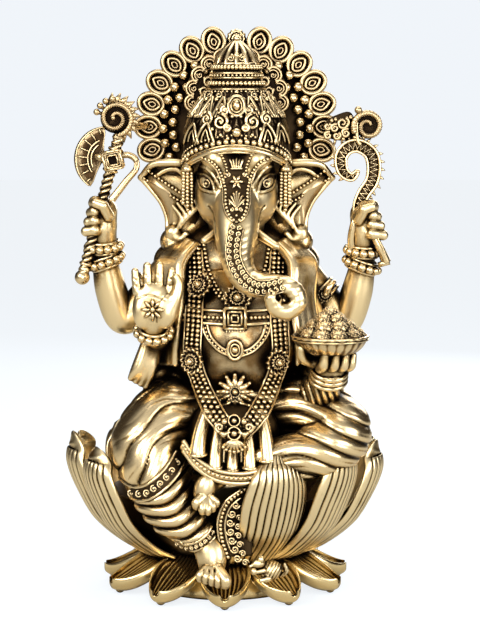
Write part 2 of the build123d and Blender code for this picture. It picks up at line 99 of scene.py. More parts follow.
from_face = offsets_from(EYE_LEVEL)
from_body = offsets_from(TORSO)
from_lap = offsets_from(LAP)


def unit(v):
    """A vector of length one."""
    v = np.array(v, float)
    return v / np.linalg.norm(v)


def unit_rows(v):
    """Each row made length one."""
    return v / (np.linalg.norm(v, axis=1)[:, None] + 1e-9)


def facing(normal, up=(0, 0, 1)):
    """Two directions across a surface: to the right of someone looking at it, and up it."""
    n = unit(normal)
    across = np.cross(up, n)
    across = unit(across) if np.linalg.norm(across) > 1e-6 else np.array([1.0, 0, 0])
    return across, np.cross(n, across)


def turned(about_x=0.0, about_y=0.0, about_z=0.0):
    """A rotation matrix, angles in degrees. Its columns are the turned shape's own directions."""
    a, b, c = (math.radians(v) for v in (about_x, about_y, about_z))
    rx = np.array([[1, 0, 0], [0, math.cos(a), -math.sin(a)], [0, math.sin(a), math.cos(a)]])
    ry = np.array([[math.cos(b), 0, math.sin(b)], [0, 1, 0], [-math.sin(b), 0, math.cos(b)]])
    rz = np.array([[math.cos(c), -math.sin(c), 0], [math.sin(c), math.cos(c), 0], [0, 0, 1]])
    return rz @ ry @ rx


def curve(points, count):
    """A smooth line of places through the points; a fourth value, such as a radius, follows along."""
    p = np.array(points, float)
    p = np.vstack([2 * p[0] - p[1], p, 2 * p[-1] - p[-2]])
    t = np.linspace(0, len(p) - 3 - 1e-9, count)
    i = t.astype(int)
    f = (t - i)[:, None]
    a, b, c, d = p[i], p[i + 1], p[i + 2], p[i + 3]
    bend, twist = 2 * a - 5 * b + 4 * c - d, 3 * b - a - 3 * c + d
    return 0.5 * (2 * b + (c - a) * f + bend * f ** 2 + twist * f ** 3)


def run_of(points):
    """The length walked along a line of points, at each point."""
    steps = np.linalg.norm(np.diff(points[:, :3], axis=0), axis=1)
    return np.concatenate([[0], np.cumsum(steps)])


def evenly(points, step):
    """Places along a line of points, an even step apart."""
    p = np.array(points, float)
    run = run_of(p)
    count = max(int(run[-1] / step) + 1, 2)
    stops = np.linspace(0, run[-1], count)
    return np.stack([np.interp(stops, run, p[:, k]) for k in range(p.shape[1])], axis=1)


def shifted(line, reach):
    """A line of (x, z) moved sideways by reach."""
    way = unit_rows(np.gradient(line, axis=0))
    return line + np.stack([-way[:, 1], way[:, 0]], 1) * reach


def spiral(centre, normal, radius, turns, start, hand, count, inner=0.18):
    """Places along a flat curl, from its outer end in to its middle."""
    across, up = facing(normal)
    t = np.linspace(0, 1, count)
    r = radius * (1 - (1 - inner) * t)
    a = start + hand * 2 * PI * turns * t
    return np.array(centre) + (r * np.cos(a))[:, None] * across + (r * np.sin(a))[:, None] * up


def upright(centre, radius, angle):
    """Places on a circle that faces the viewer. The radius may change with the angle."""
    return centre + np.stack([radius * np.cos(angle), 0 * angle, radius * np.sin(angle)], -1)


def level_ring(centre, z, radius, angle, deep=None):
    """Places on a level circle, or on an oval if its half depth is given too."""
    deep = radius if deep is None else deep
    return np.stack([centre[0] + radius * np.cos(angle), centre[1] + deep * np.sin(angle), z + 0 * angle], -1)


def whole_turn(count):
    """Angles round a whole turn, the last one short of the first."""
    return np.arange(count) * 2 * PI / count


def flat_line(origin, places, count=60, y=0.0):
    """A smooth line in the plane facing the viewer, from (x, z) offsets."""
    x, z = curve(places, count).T
    return np.array(origin) + np.stack([x, np.full(count, y), z], 1)


def ridge(distance, width):
    """A soft ridge: one where the distance is zero, and gone a few widths away."""
    return np.exp(-(distance / width) ** 2)


def rounded(phase, sharp=0.55):
    """The height, 0 to 1, of soft cloth folds with a narrow crease at each whole number of the phase."""
    return np.abs(np.sin(PI * phase)) ** sharp


# ---------------------------------------------------------------- meshes

def piece(name, points, face_sets, material, *nodes):
    """One finished piece from points in mm and arrays of faces. It stands for the CAD nodes named."""
    mesh = bpy.data.meshes.new(name)
    points = np.asarray(points, np.float32) * MM
    mesh.vertices.add(len(points))
    mesh.vertices.foreach_set("co", points.ravel())
    loops = np.concatenate([np.asarray(f, np.int32).ravel() for f in face_sets])
    sizes = np.concatenate([np.full(len(f), np.asarray(f).shape[1], np.int32) for f in face_sets])
    starts = np.concatenate([[0], np.cumsum(sizes)[:-1]]).astype(np.int32)
    mesh.loops.add(len(loops))
    mesh.loops.foreach_set("vertex_index", loops)
    mesh.polygons.add(len(sizes))
    mesh.polygons.foreach_set("loop_start", starts)
    mesh.polygons.foreach_set("use_smooth", np.ones(len(sizes), bool))
    mesh.update(calc_edges=True)
    mesh.materials.append(material)
    obj = bpy.data.objects.new(name, mesh)
    bpy.context.scene.collection.objects.link(obj)
    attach(obj, "root")
    if nodes:
        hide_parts(*nodes)
        slot_of(nodes[0])


def slot_of(node):
    """The record's material slot of a CAD node."""
    return next(part["material_slot"] for part in frame["record"]["subparts"] if part["node"] == node)


def paint(node, material):
    """Gives a CAD section that is shown as it is its finish."""
    materials = frame["nodes"][node].data.materials
    materials.clear()
    materials.append(material)


def ball_mesh(divisions):
    """A sphere of radius one, as points and triangles."""
    bm = bmesh.new()
    bmesh.ops.create_icosphere(bm, subdivisions=divisions, radius=1.0)
    points = np.array([v.co for v in bm.verts])
    faces = np.array([[v.index for v in f.verts] for f in bm.faces])
    bm.free()
    return points, faces


BALL = ball_mesh(3)
BALL_SMALL = ball_mesh(2)
SMALL_BALL_RADIUS = 1.5                     # balls below this have fewer faces


def level(share, angle):
    """The height of a flat disc."""
    return 0 * angle


class Heap:
    """Many small closed meshes gathered into one piece."""

    def __init__(self):
        self.points = []
        self.faces = {3: [], 4: []}
        self.count = 0

    def add(self, points, *face_sets):
        """Adds one closed mesh, with its faces turned outwards."""
        points = np.asarray(points, float)
        face_sets = [np.asarray(faces, np.int64) for faces in face_sets]
        volume = 0.0
        centred = points - points.mean(0)
        for faces in face_sets:
            for k in range(1, faces.shape[1] - 1):
                a, b, c = centred[faces[:, 0]], centred[faces[:, k]], centred[faces[:, k + 1]]
                volume += (a * np.cross(b, c)).sum()
        for faces in face_sets:
            outward = faces if volume > 0 else faces[:, ::-1]
            self.faces[faces.shape[1]].append(outward + self.count)
        self.points.append(points)
        self.count += len(points)

    def finish(self, name, material, *nodes):
        """Makes the piece."""
        sets = [np.concatenate(faces) for faces in self.faces.values() if faces]
        piece(name, np.concatenate(self.points), sets, material, *nodes)

    def balls(self, places, radius, squash=(1, 1, 1)):
        """A bead at each place. A radius may be one number or one for each place."""
        points, faces = BALL_SMALL if np.max(radius) < SMALL_BALL_RADIUS else BALL
        for place, r in zip(places, np.broadcast_to(radius, len(places))):
            self.add(points * r * np.array(squash) + np.asarray(place)[:3], faces)

    def tube(self, rings, closed=False):
        """A skin through rings of points, with a fan at each end unless it closes on itself."""
        n, sides = len(rings), len(rings[0])
        points = np.concatenate(rings)
        i, j = np.meshgrid(np.arange(n if closed else n - 1), np.arange(sides), indexing="ij")
        near, far, turn = i * sides, (i + 1) % n * sides, (j + 1) % sides
        quads = np.stack([near + turn, far + turn, far + j, near + j], -1).reshape(-1, 4)
        if closed:
            self.add(points, quads)
            return
        points = np.vstack([points, rings[0].mean(0), rings[-1].mean(0)])
        k, end = np.arange(sides), (n - 1) * sides
        nxt, ones = (k + 1) % sides, np.ones(sides, int)
        first = np.stack([ones * n * sides, nxt, k], 1)
        last = np.stack([ones * (n * sides + 1), k + end, nxt + end], 1)
        self.add(points, quads, first, last)

    def sheet(self, rows, depth):
        """A closed sheet whose front goes through rows of places, with its back a depth behind."""
        self.tube([np.vstack([row, (row + (0, depth, 0))[::-1]]) for row in rows])

    def cord(self, points, radius, sides=8, twist=0.0, flat=1.0, normal=None):
        """A round cord along points. Twist makes it a rope, and flat under one a strap across the normal."""
        p = np.array(points, float)[:, :3]
        radii = np.broadcast_to(radius, len(p))
        along = unit_rows(np.gradient(p, axis=0))
        side = np.cross(along[0], (0.3, 0.9, 0.2) if normal is None else normal)
        angle = whole_turn(sides)
        rings = []
        for place, r, way, run in zip(p, radii, along, run_of(p)):
            if normal is not None:
                side = np.cross(way, normal)
            side = side - way * (side @ way)
            side /= np.linalg.norm(side) + 1e-9
            up = np.cross(side, way)
            swell = r * (1 + (0.16 * np.cos(3 * (angle + run * twist)) if twist else 0))
            rings.append(place + (swell * np.cos(angle))[:, None] * side
                         + (flat * swell * np.sin(angle))[:, None] * up)
        self.tube(rings)

    def curl(self, centre, normal, radius, turns, start, hand, thick, count=26, sides=8, inner=0.18):
        """A cord along a flat spiral. Its thickness is one number, or one outside and one in the middle."""
        thick = np.linspace(*thick, count) if isinstance(thick, tuple) else thick
        self.cord(spiral(centre, normal, radius, turns, start, hand, count, inner), thick, sides)

    def loop_cord(self, loop, radius, sides):
        """A closed cord along a flat loop of places."""
        along = unit_rows(np.roll(loop, -1, axis=0) - np.roll(loop, 1, axis=0))
        plane = unit(np.cross(along[0], along[len(loop) // 4]))
        b = whole_turn(sides)
        flat = np.cross(along, plane)
        rings = [p + radius * (np.cos(b)[:, None] * side + np.sin(b)[:, None] * plane)
                 for p, side in zip(loop, flat)]
        self.tube(rings, closed=True)

    def hoop(self, centre, axis, radius, thick, sides=8, count=40, wide=1.0, tall=1.0):
        """A closed ring round an axis; wide and tall stretch it across and up."""
        across, up = facing(axis)
        b = whole_turn(sides)[:, None]
        rings = []
        for a in whole_turn(count):
            out = across * wide * math.cos(a) + up * tall * math.sin(a)
            rings.append(np.array(centre) + out * radius + unit(out) * thick * np.cos(b)
                         + unit(axis) * thick * np.sin(b))
        self.tube(rings, closed=True)

    def square(self, at, half, thick):
        """Four cords round a square. at(x, z) places its corners."""
        corners = [at(half * x, half * z) for x, z in ((-1, 1), (1, 1), (1, -1), (-1, -1), (-1, 1))]
        for start, end in zip(corners, corners[1:]):
            self.cord([start, end], thick)

    def disc(self, centre, axis, radius, height=level, rings=10, spokes=48, depth=1.5):
        """A medallion. Its radius may follow the angle, and its height both the share of it and the angle."""
        across, up = facing(axis)
        n = unit(axis)
        angle = whole_turn(spokes)
        edge = radius(angle) if callable(radius) else np.full(spokes, float(radius))
        way = np.cos(angle)[:, None] * across + np.sin(angle)[:, None] * up
        rows = []
        for share in np.arange(1, rings + 1) / rings:
            tall = height(share, angle) * np.ones(spokes)
            rows.append(np.array(centre) + way * (edge * share)[:, None] + tall[:, None] * n)
        rows.append(rows[-1] - n * depth)
        top = np.array(centre) + n * float(np.mean(height(0.0, angle)))
        under = np.array(centre) - n * depth
        i, j = np.meshgrid(np.arange(rings) * spokes, np.arange(spokes), indexing="ij")
        turn = (j + 1) % spokes
        quads = np.stack([i + j, i + spokes + j, i + spokes + turn, i + turn], -1).reshape(-1, 4)
        k, tip, last = np.arange(spokes), (rings + 1) * spokes, rings * spokes
        nxt, ones = (k + 1) % spokes, np.ones(spokes, int)
        fan = np.stack([k, nxt, ones * tip], 1)
        base = np.stack([nxt + last, k + last, ones * (tip + 1)], 1)
        self.add(np.vstack(rows + [top, under]), quads, fan, base)


# ---------------------------------------------------------------- clay

class Clay:
    """A block of cells that holds the distance to a surface, so that shapes melt into each other."""

    FAR = 30.0                              # the distance held by empty cells, in mm

    def __init__(self, corner_a, corner_b, cell):
        self.cell = cell
        self.low = np.array(corner_a, float) - 4 * cell
        counts = np.ceil((np.array(corner_b, float) + 4 * cell - self.low) / cell).astype(int)
        self.field = np.full(counts, self.FAR, np.float32)
        self.axes = [(self.low[i] + cell * np.arange(counts[i])).astype(np.float32) for i in range(3)]

    def window(self, corner_a, corner_b):
        """The slice of the block between two corners, and the places of its cells."""
        cut = []
        for i in range(3):
            count = len(self.axes[i])
            first = int(np.clip((corner_a[i] - self.low[i]) // self.cell, 0, count - 1))
            last = int(np.clip((corner_b[i] - self.low[i]) // self.cell + 2, first + 1, count))
            cut.append(slice(first, last))
        x, y, z = (self.axes[i][cut[i]] for i in range(3))
        return tuple(cut), x[:, None, None], y[None, :, None], z[None, None, :]

    def press(self, cut, distance, blend, hole):
        """Presses a shape on, or takes it away as a hole, rounding the seam by blend."""
        sign = -1 if hole else 1
        old = sign * self.field[cut]
        new = np.minimum(old, distance)
        if blend:
            new = new - np.clip(blend - np.abs(old - distance), 0, None) ** 2 / (4 * blend)
        self.field[cut] = sign * new

    def egg(self, centre, halves, blend=0.0, turn=None, hole=False):
        """An ellipsoid, turned by a rotation matrix if one is given."""
        centre, halves = np.array(centre, float), np.array(halves, float)
        reach = (halves.max() if turn is not None else halves) + blend + 3 * self.cell
        cut, x, y, z = self.window(centre - reach, centre + reach)
        x, y, z = x - centre[0], y - centre[1], z - centre[2]
        if turn is not None:
            x, y, z = (turn[0][k] * x + turn[1][k] * y + turn[2][k] * z for k in range(3))
        near = np.sqrt((x / halves[0]) ** 2 + (y / halves[1]) ** 2 + (z / halves[2]) ** 2)
        slope = np.sqrt((x / halves[0] ** 2) ** 2 + (y / halves[1] ** 2) ** 2 + (z / halves[2] ** 2) ** 2)
        distance = near * (near - 1) / np.maximum(slope, 1e-6)
        self.press(cut, distance.astype(np.float32), blend, hole)

    def tube(self, stations, blend=0.0, hole=False, flat=None):
        """A tapering tube through (x, y, z, radius) stations, squeezed by flat = (direction, share)."""
        s = np.array(stations, float)
        r = s[:, 3].max() + blend + 3 * self.cell
        cut, *_ = self.window(s[:, :3].min(0) - r, s[:, :3].max(0) + r)
        origin = [c.start for c in cut]
        whole = np.full([c.stop - c.start for c in cut], self.FAR, np.float32)
        for a, b in zip(s, s[1:]):
            r = max(a[3], b[3]) + blend + 3 * self.cell
            sub, x, y, z = self.window(np.minimum(a, b)[:3] - r, np.maximum(a, b)[:3] + r)
            inner = tuple(slice(c.start - o, c.stop - o) for c, o in zip(sub, origin))
            span = b[:3] - a[:3]
            px, py, pz = x - a[0], y - a[1], z - a[2]
            t = np.clip((px * span[0] + py * span[1] + pz * span[2]) / max(span @ span, 1e-9), 0, 1)
            dx, dy, dz = px - t * span[0], py - t * span[1], pz - t * span[2]
            squared = dx * dx + dy * dy + dz * dz
            scale = 1.0
            if flat is not None:
                (nx, ny, nz), share = unit(flat[0]), flat[1]
                squared = squared + (1 / share ** 2 - 1) * (dx * nx + dy * ny + dz * nz) ** 2
                scale = share ** 0.5
            distance = (np.sqrt(squared) - (a[3] + t * (b[3] - a[3]))) * scale
            whole[inner] = np.minimum(whole[inner], distance)
        self.press(cut, whole, blend, hole)

    def limb(self, stations, count, blend=0.0, flat=None):
        """A tube along a smooth line through a few stations."""
        self.tube(curve(stations, count), blend, flat=flat)

    def emboss(self, corner_a, corner_b, raised):
        """Raises the surface inside a box by raised(x, y, z) mm."""
        cut, x, y, z = self.window(corner_a, corner_b)
        self.field[cut] -= raised(x, y, z).astype(np.float32)

    def front(self, origin, xs, zs, lift=0.0):
        """Places on the surface as seen from the front, at offsets across and up from an origin."""
        places = []
        for x, z in zip(origin[0] + np.atleast_1d(xs), origin[2] + np.atleast_1d(zs)):
            i = int(np.clip(round((x - self.low[0]) / self.cell), 0, len(self.axes[0]) - 1))
            k = int(np.clip(round((z - self.low[2]) / self.cell), 0, len(self.axes[2]) - 1))
            column = self.field[i, :, k]
            inside = np.nonzero(column < 0)[0]
            if len(inside) and inside[0] > 0:
                j = inside[0]
                share = column[j - 1] / (column[j - 1] - column[j])
                places.append((x, self.axes[1][j - 1] + share * self.cell - lift, z))
        return np.array(places)

    def skin(self, name, material, *nodes):
        """Makes the piece."""
        grid = openvdb.FloatGrid(3 * self.cell)
        grid.copyFromArray(np.clip(self.field, -3 * self.cell, 3 * self.cell))
        points, quads = grid.convertToQuads()
        points = points * self.cell + self.low
        a, b, c = points[quads[:, 0]], points[quads[:, 1]], points[quads[:, 2]]
        if (np.cross(b - a, c - a) * (a - points.mean(0))).sum() < 0:
            quads = quads[:, ::-1]
        piece(name, points, [quads], material, *nodes)


def ground_rows(clay, origin, lines, count, lift):
    """Rows of places on the front of a skin, each from one (x, z) to another. Broken rows are left out."""
    rows = [clay.front(origin, np.linspace(a[0], b[0], count), np.linspace(a[1], b[1], count), lift)
            for a, b in lines]
    return [row for row in rows if len(row) == count]


def flower(heap, clay, origin, petals, reaches, thick, lift):
    """A flat flower on the front of a skin, with one swelling cord for each petal."""
    for a in whole_turn(petals):
        x, z = np.outer((math.cos(a), math.sin(a)), reaches)
        heap.cord(clay.front(origin, x, z, lift), thick, 6)


# ---------------------------------------------------------------- finish

def node(tree, kind, inputs, **settings):
    """Adds a node. Each input is a value, or another node's output to link from."""
    made = tree.nodes.new("ShaderNode" + kind)
    for key, value in settings.items():
        setattr(made, key, value)
    feed(tree, made, inputs)
    return made


def feed(tree, made, inputs):
    """Sets a node's inputs, or links them from other nodes' outputs."""
    for key, value in inputs.items():
        if isinstance(value, bpy.types.NodeSocket):
            tree.links.new(value, made.inputs[key])
        else:
            made.inputs[key].default_value = value


def mapped(tree, value, before, after):
    """A value taken from one range to another."""
    ranges = {"From Min": before[0], "From Max": before[1], "To Min": after[0], "To Max": after[1]}
    return node(tree, "MapRange", {"Value": value, **ranges}).outputs["Result"]


def ramp(tree, value, stops):
    """A colour that follows a value between stops of (position, colour)."""
    made = node(tree, "ValToRGB", {"Fac": value})
    elements = made.color_ramp.elements
    elements.remove(elements[1])
    elements[0].position, elements[0].color = stops[0][0], (*stops[0][1], 1)
    for at, shade in stops[1:]:
        elements.new(at).color = (*shade, 1)
    return made.outputs["Color"]


def total(tree, a, b):
    """The sum of two values."""
    return node(tree, "Math", {0: a, 1: b}).outputs["Value"]


def brass(name, bright, warm, shine=0.24, patina_and_shade_reach=7.0, patina=1.0):
    """Antique brass: polished where it stands out, brown on the flanks and black-brown in the recesses,
    darkened by ambient occlusion as patina in the hollows and painted shade near other parts.
    """
    material = bpy.data.materials.new(name)
    material.use_nodes = True
    tree = material.node_tree
    place = node(tree, "TexCoord", {}).outputs["Object"]
    # Ambient occlusion darkens the colour in hollows and near other parts: patina in the hollows, painted
    # shade where parts stand close to each other.
    shade_and_patina = node(tree, "AmbientOcclusion", {"Distance": patina_and_shade_reach * MM}, samples=6, only_local=False)
    edge = node(tree, "NewGeometry", {}).outputs["Pointiness"]
    edge_wear = mapped(tree, edge, (0.45, 0.55), (-0.34 * patina, 0.34))
    blotch = node(tree, "TexNoise", {"Scale": 60.0, "Detail": 6.0, "Vector": place}).outputs["Fac"]
    stain = mapped(tree, blotch, (0.3, 0.7), (-0.13 * patina, 0.07))
    # The colour follows painted shade from ambient occlusion, edge wear and stains together.
    wear_and_shade = total(tree, total(tree, shade_and_patina.outputs["AO"], edge_wear), stain)
    black, brown = (0.010, 0.006, 0.004), tuple(0.22 * v for v in warm)
    colour = ramp(tree, wear_and_shade, ((0.64, black), (0.79, brown), (0.90, warm), (0.97, bright)))
    rough = mapped(tree, wear_and_shade, (0.3, 0.9), (0.55, shine))
    grain = node(tree, "TexNoise", {"Scale": 220.0, "Detail": 5.0, "Vector": place}).outputs["Fac"]
    bump = node(tree, "Bump", {"Strength": 0.12, "Distance": 0.6 * MM, "Height": grain}).outputs["Normal"]
    feed(tree, tree.nodes["Principled BSDF"],
         {"Base Color": colour, "Roughness": rough, "Normal": bump, "Metallic": 1.0})
    return material


# The reach given to each material sets how far its ambient occlusion darkens it: painted shade near other
# parts, and patina in the hollows.
SKIN = brass("skin_brass", (0.96, 0.76, 0.43), (0.54, 0.34, 0.12), shine=0.3, patina=0.8)
CLOTH = brass("cloth_brass", (0.95, 0.74, 0.42), (0.44, 0.27, 0.09), shine=0.26, patina_and_shade_reach=8.0)
BODY = brass("body_brass", (0.80, 0.62, 0.35), (0.32, 0.19, 0.075), patina_and_shade_reach=11.0, patina=1.2)
LOTUS = brass("lotus_brass", (0.97, 0.79, 0.47), (0.56, 0.36, 0.13), shine=0.3, patina_and_shade_reach=6.0)
ORNAMENT = brass("ornament_brass", (0.88, 0.68, 0.38), (0.32, 0.19, 0.07), shine=0.22, patina_and_shade_reach=6.5, patina=1.3)
AGED = brass("aged_brass", (0.62, 0.46, 0.25), (0.13, 0.072, 0.03), shine=0.28, patina_and_shade_reach=6.0, patina=1.5)
PETAL = brass("petal_brass", (0.95, 0.74, 0.38), (0.60, 0.37, 0.12), shine=0.2, patina_and_shade_reach=2.5)
RECESS = brass("recess_brass", (0.055, 0.034, 0.016), (0.03, 0.018, 0.009), shine=0.5, patina=0.6)


# ---------------------------------------------------------------- head

TRUNK_LINE = curve([from_face(*p) for p in (
    (0, -12, -2, 12.5), (0, -19, -12, 12.6), (0, -26, -21, 11.8), (-0.3, -32, -29, 10.0),
    (0.2, -37, -37, 8.3), (3, -41, -44.5, 7.3), (8.5, -44, -49, 6.6), (16, -46, -50, 6.0),
    (23.5, -47.5, -50, 5.5),
    (29, -48.5, -53, 5.2), (30, -49, -58.5, 4.9), (25.5, -50, -62, 4.6), (20, -51, -60.5, 4.4),
    (18, -52, -55.5, 4.3))], 120)


def head():
    """The elephant's head with its eyes, brows and trunk in one skin."""
    clay = Clay(from_face(-24, -60, -72), from_face(38, 28, 26), FINE)
    clay.egg(from_face(0, 0, -1.5), (21.0, 23.0, 27.0))
    clay.tube([from_face(0, 8, -20, 14), from_face(0, 10, -32, 15)], 6)
    clay.egg(from_face(0, -15, -24), (9, 9, 7), 3)
    for side in (-1, 1):
        clay.egg(from_face(side * 10.5, -8, -8), (10.3, 14, 13.5), 5)
        clay.egg(from_face(side * 9.5, -14, 12), (8.5, 9.5, 8), 4)
    clay.tube(TRUNK_LINE, 5)
    nostril = from_face(21.0, -54.5, -54.5)
    clay.egg(nostril, (1.6, 3.0, 2.4), 0.8, hole=True)
    dark, bright = Heap(), Heap()
    for side in (-1, 1):
        eye(clay, side, dark, bright)
        cheek = side * np.array([14.5, 12.5, 11.4, 11.0])
        crease = clay.front(EYE_LEVEL, cheek, (-11.5, -14.5, -19, -24))
        clay.tube(np.c_[crease, np.linspace(0.5, 1.3, len(crease))], 1.0, hole=True)
    clay.emboss(from_face(-24, -60, -60), from_face(38, -20, -18), trunk_wrinkles)
    clay.skin("head_skin", SKIN, "head", "trunk")
    dark.finish("eye_hollows", RECESS)
    bright.finish("eye_pupils", ORNAMENT)
    return clay


def trunk_wrinkles(x, y, z):
    """Faint rings round the lower trunk."""
    down = (EYE_LEVEL[2] - 20 - z) + 0.35 * (x - AXIS)
    return 0.10 * np.sin(down * 1.9) * np.clip(down / 14, 0, 1) + 0 * y


def eye(clay, side, dark, bright):
    """One slanted almond eye: the ball, its two lids, the pupil and the lines of the brow above."""
    def line(points, radius):
        x, z = curve(points, 24).T
        on = clay.front(EYE_LEVEL, side * x, z)
        return np.c_[on, np.full(len(on), radius)]

    out = side * 15.4
    socket = clay.front(EYE_LEVEL, out, -0.2)[0]
    tilt = turned(0, -side * 40, side * 38)
    brows = [line(((21.0, 8.6), (16.0, 8.2), (11.8, 4.2), (8.2, -1.6)), 0.85),
             line(((20.5, 12.0), (15.0, 11.0), (10.2, 7.0), (7.2, 1.0)), 0.6)]
    lids = [line(((11.0, -4.2), (12.4, 0.6), (15.6, 3.9), (20.6, 4.6)), 0.75),
            line(((11.0, -4.2), (14.6, -3.9), (18.6, -2.0), (20.6, 4.6)), 0.7)]
    clay.egg(socket + (0, -0.6, 0), (6.2, 1.8, 3.9), 1.0, tilt, hole=True)
    clay.egg(socket + (0, 1.6, 0), (4.4, 2.7, 2.7), 0.2, tilt)
    for lid in lids:
        clay.tube(lid, 0.5)
    points, faces = BALL
    dark.add((points * (5.7, 1.5, 3.6)) @ tilt.T + socket + (0, 1.7, 0), faces)
    for brow in brows:
        clay.tube(brow, 0.8)
    gaze = unit((side * 0.6, -1.0, 0.0))
    pupil = clay.front(EYE_LEVEL, out, 0)[0] + gaze * 0.1
    dark.disc(pupil, gaze, 1.9, lambda s, a: 0.3 * (1 - s), rings=4, spokes=32, depth=1.0)
    bright.hoop(pupil, gaze, 1.9, 0.28, 6, 32)
    bright.balls([pupil + gaze * 0.2], 0.75)


def forehead_plate(clay):
    """The pointed plate on the forehead: dark ground, beaded edge, a small crown, a flower and a palmette."""
    def on(xs, zs, lift=0.3):
        return clay.front(EYE_LEVEL, xs, zs, lift)

    edge = curve([(17.4, 13.0), (12.2, 10.8), (8.2, 5.7), (5.7, -2.7), (5.4, -10.0), (3.4, -15.6),
                  (0, -18.4)], 60)
    inner = curve([(9.2, 17.5), (6.6, 12.5), (5.0, 8.0), (5.2, 4.6), (6.6, 2.0)], 24)
    lines = []
    for z in np.linspace(16, -17.6, 46):
        side = edge if z < 3.4 else inner
        half = np.interp(-z, -side[:, 1], side[:, 0])
        lines.append(((-half, z), (half, z)))
    ground = Heap()
    ground.sheet(ground_rows(clay, EYE_LEVEL, lines, 13, 0.35), 1.2)
    ground.finish("forehead_ground", RECESS)

    beads = Heap()
    for side in (-1, 1):
        for line, radius, step in ((edge, 0.85, 1.75), (inner, 0.75, 1.6)):
            x, z = evenly(line, step).T
            beads.balls(on(side * x, z, 0.5), radius)
        x, z = evenly(edge, 1.0).T
        beads.cord(on(side * (x + 1.4), z, 0.1), 0.5, 6)
    bloom = 1.2
    flower(beads, clay, EYE_LEVEL + (0, 0, bloom), 6, (0, 2.0, 3.7), [0.3, 0.95, 0.35], 0.7)
    beads.balls(on(0, bloom, 1.1), 0.9)
    for x, top in ((-3.6, 13.0), (-1.8, 13.4), (0.0, 15.4), (1.8, 13.4), (3.6, 13.0)):
        spike = on(np.linspace(x * 0.45, x, 6), np.linspace(7.6, top, 6), 0.6)
        beads.cord(spike, [0.5, 0.6, 0.6, 0.7, 0.6, 0.2], 6)
    beads.cord(on(np.linspace(-3.0, 3.0, 8), np.full(8, 7.8), 0.6), 0.6, 6)
    for spread in (-4.2, -3.0, -1.5, 0.0, 1.5, 3.0, 4.2):
        tall = -3.4 - 0.36 * abs(spread) ** 1.7
        frond = on(spread * np.linspace(0.1, 1, 8) ** 1.5, np.linspace(-12.0, tall, 8), 0.6)
        beads.cord(frond, np.linspace(0.35, 0.7, 8), 6)
    for side in (-1, 1):
        for x, z in ((2.4, -12.4), (3.1, -9.4), (4.2, 4.6)):
            beads.curl(on(side * x, z, 0.5)[0], (0, -1, 0.1), 1.1, 1.2, PI / 2, side, 0.35, 14, 6)
    beads.balls(on([0, 0], [-12.2, -15.2], 0.9), [1.3, 0.7])
    beads.finish("forehead_plate_beads", ORNAMENT, "forehead_plate")


def trunk_chain(clay):
    """Two rows of small curls down the front of the trunk, on a dark strip."""
    strip, curls = Heap(), Heap()
    line = ((0, -21.0), (-1.6, -29.5), (-1.2, -37.0), (3.0, -45.5), (9.5, -50.2), (16.5, -50.2),
            (22.5, -48.6))
    stops = evenly(curve(line, 60), 2.9)

    def beside(reach, lift):
        return clay.front(EYE_LEVEL, *shifted(stops, -reach).T, lift)

    for row in (-1, 1):
        for place in beside(row * 1.75, 0.45):
            curls.curl(place, FORWARD, 1.45, 1.15, row * PI / 2, row, 0.42, 14, 6, inner=0.3)
            curls.balls([place], 0.42)
    for row in (-1, 1):
        curls.cord(beside(row * 3.6, 0.1), 0.4, 6)
    edges = zip(shifted(stops, 3.3), shifted(stops, -3.3))
    strip.sheet(ground_rows(clay, EYE_LEVEL, edges, 9, 0.22), 0.9)
    strip.finish("trunk_chain_ground", RECESS)
    curls.finish("trunk_chain", ORNAMENT)


def tusks():
    """The short broken tusk and the long one."""
    heap = Heap()
    share = np.linspace(0, 1, 12)
    for side, reach in ((-1, 6.5), (1, 12.0)):
        root = from_face(side * 9.5, -22, -24.5)
        way = np.array([side * 0.72, -0.35, -0.52]) * (reach + 5)
        upward = np.array([0, 0, 1.0])
        line = root + share[:, None] * way + (share ** 2)[:, None] * upward
        heap.cord(line, np.append(2.5 - 0.9 * share[:-1], 0.9), 16)
    heap.finish("tusks_carved", SKIN, "tusks")


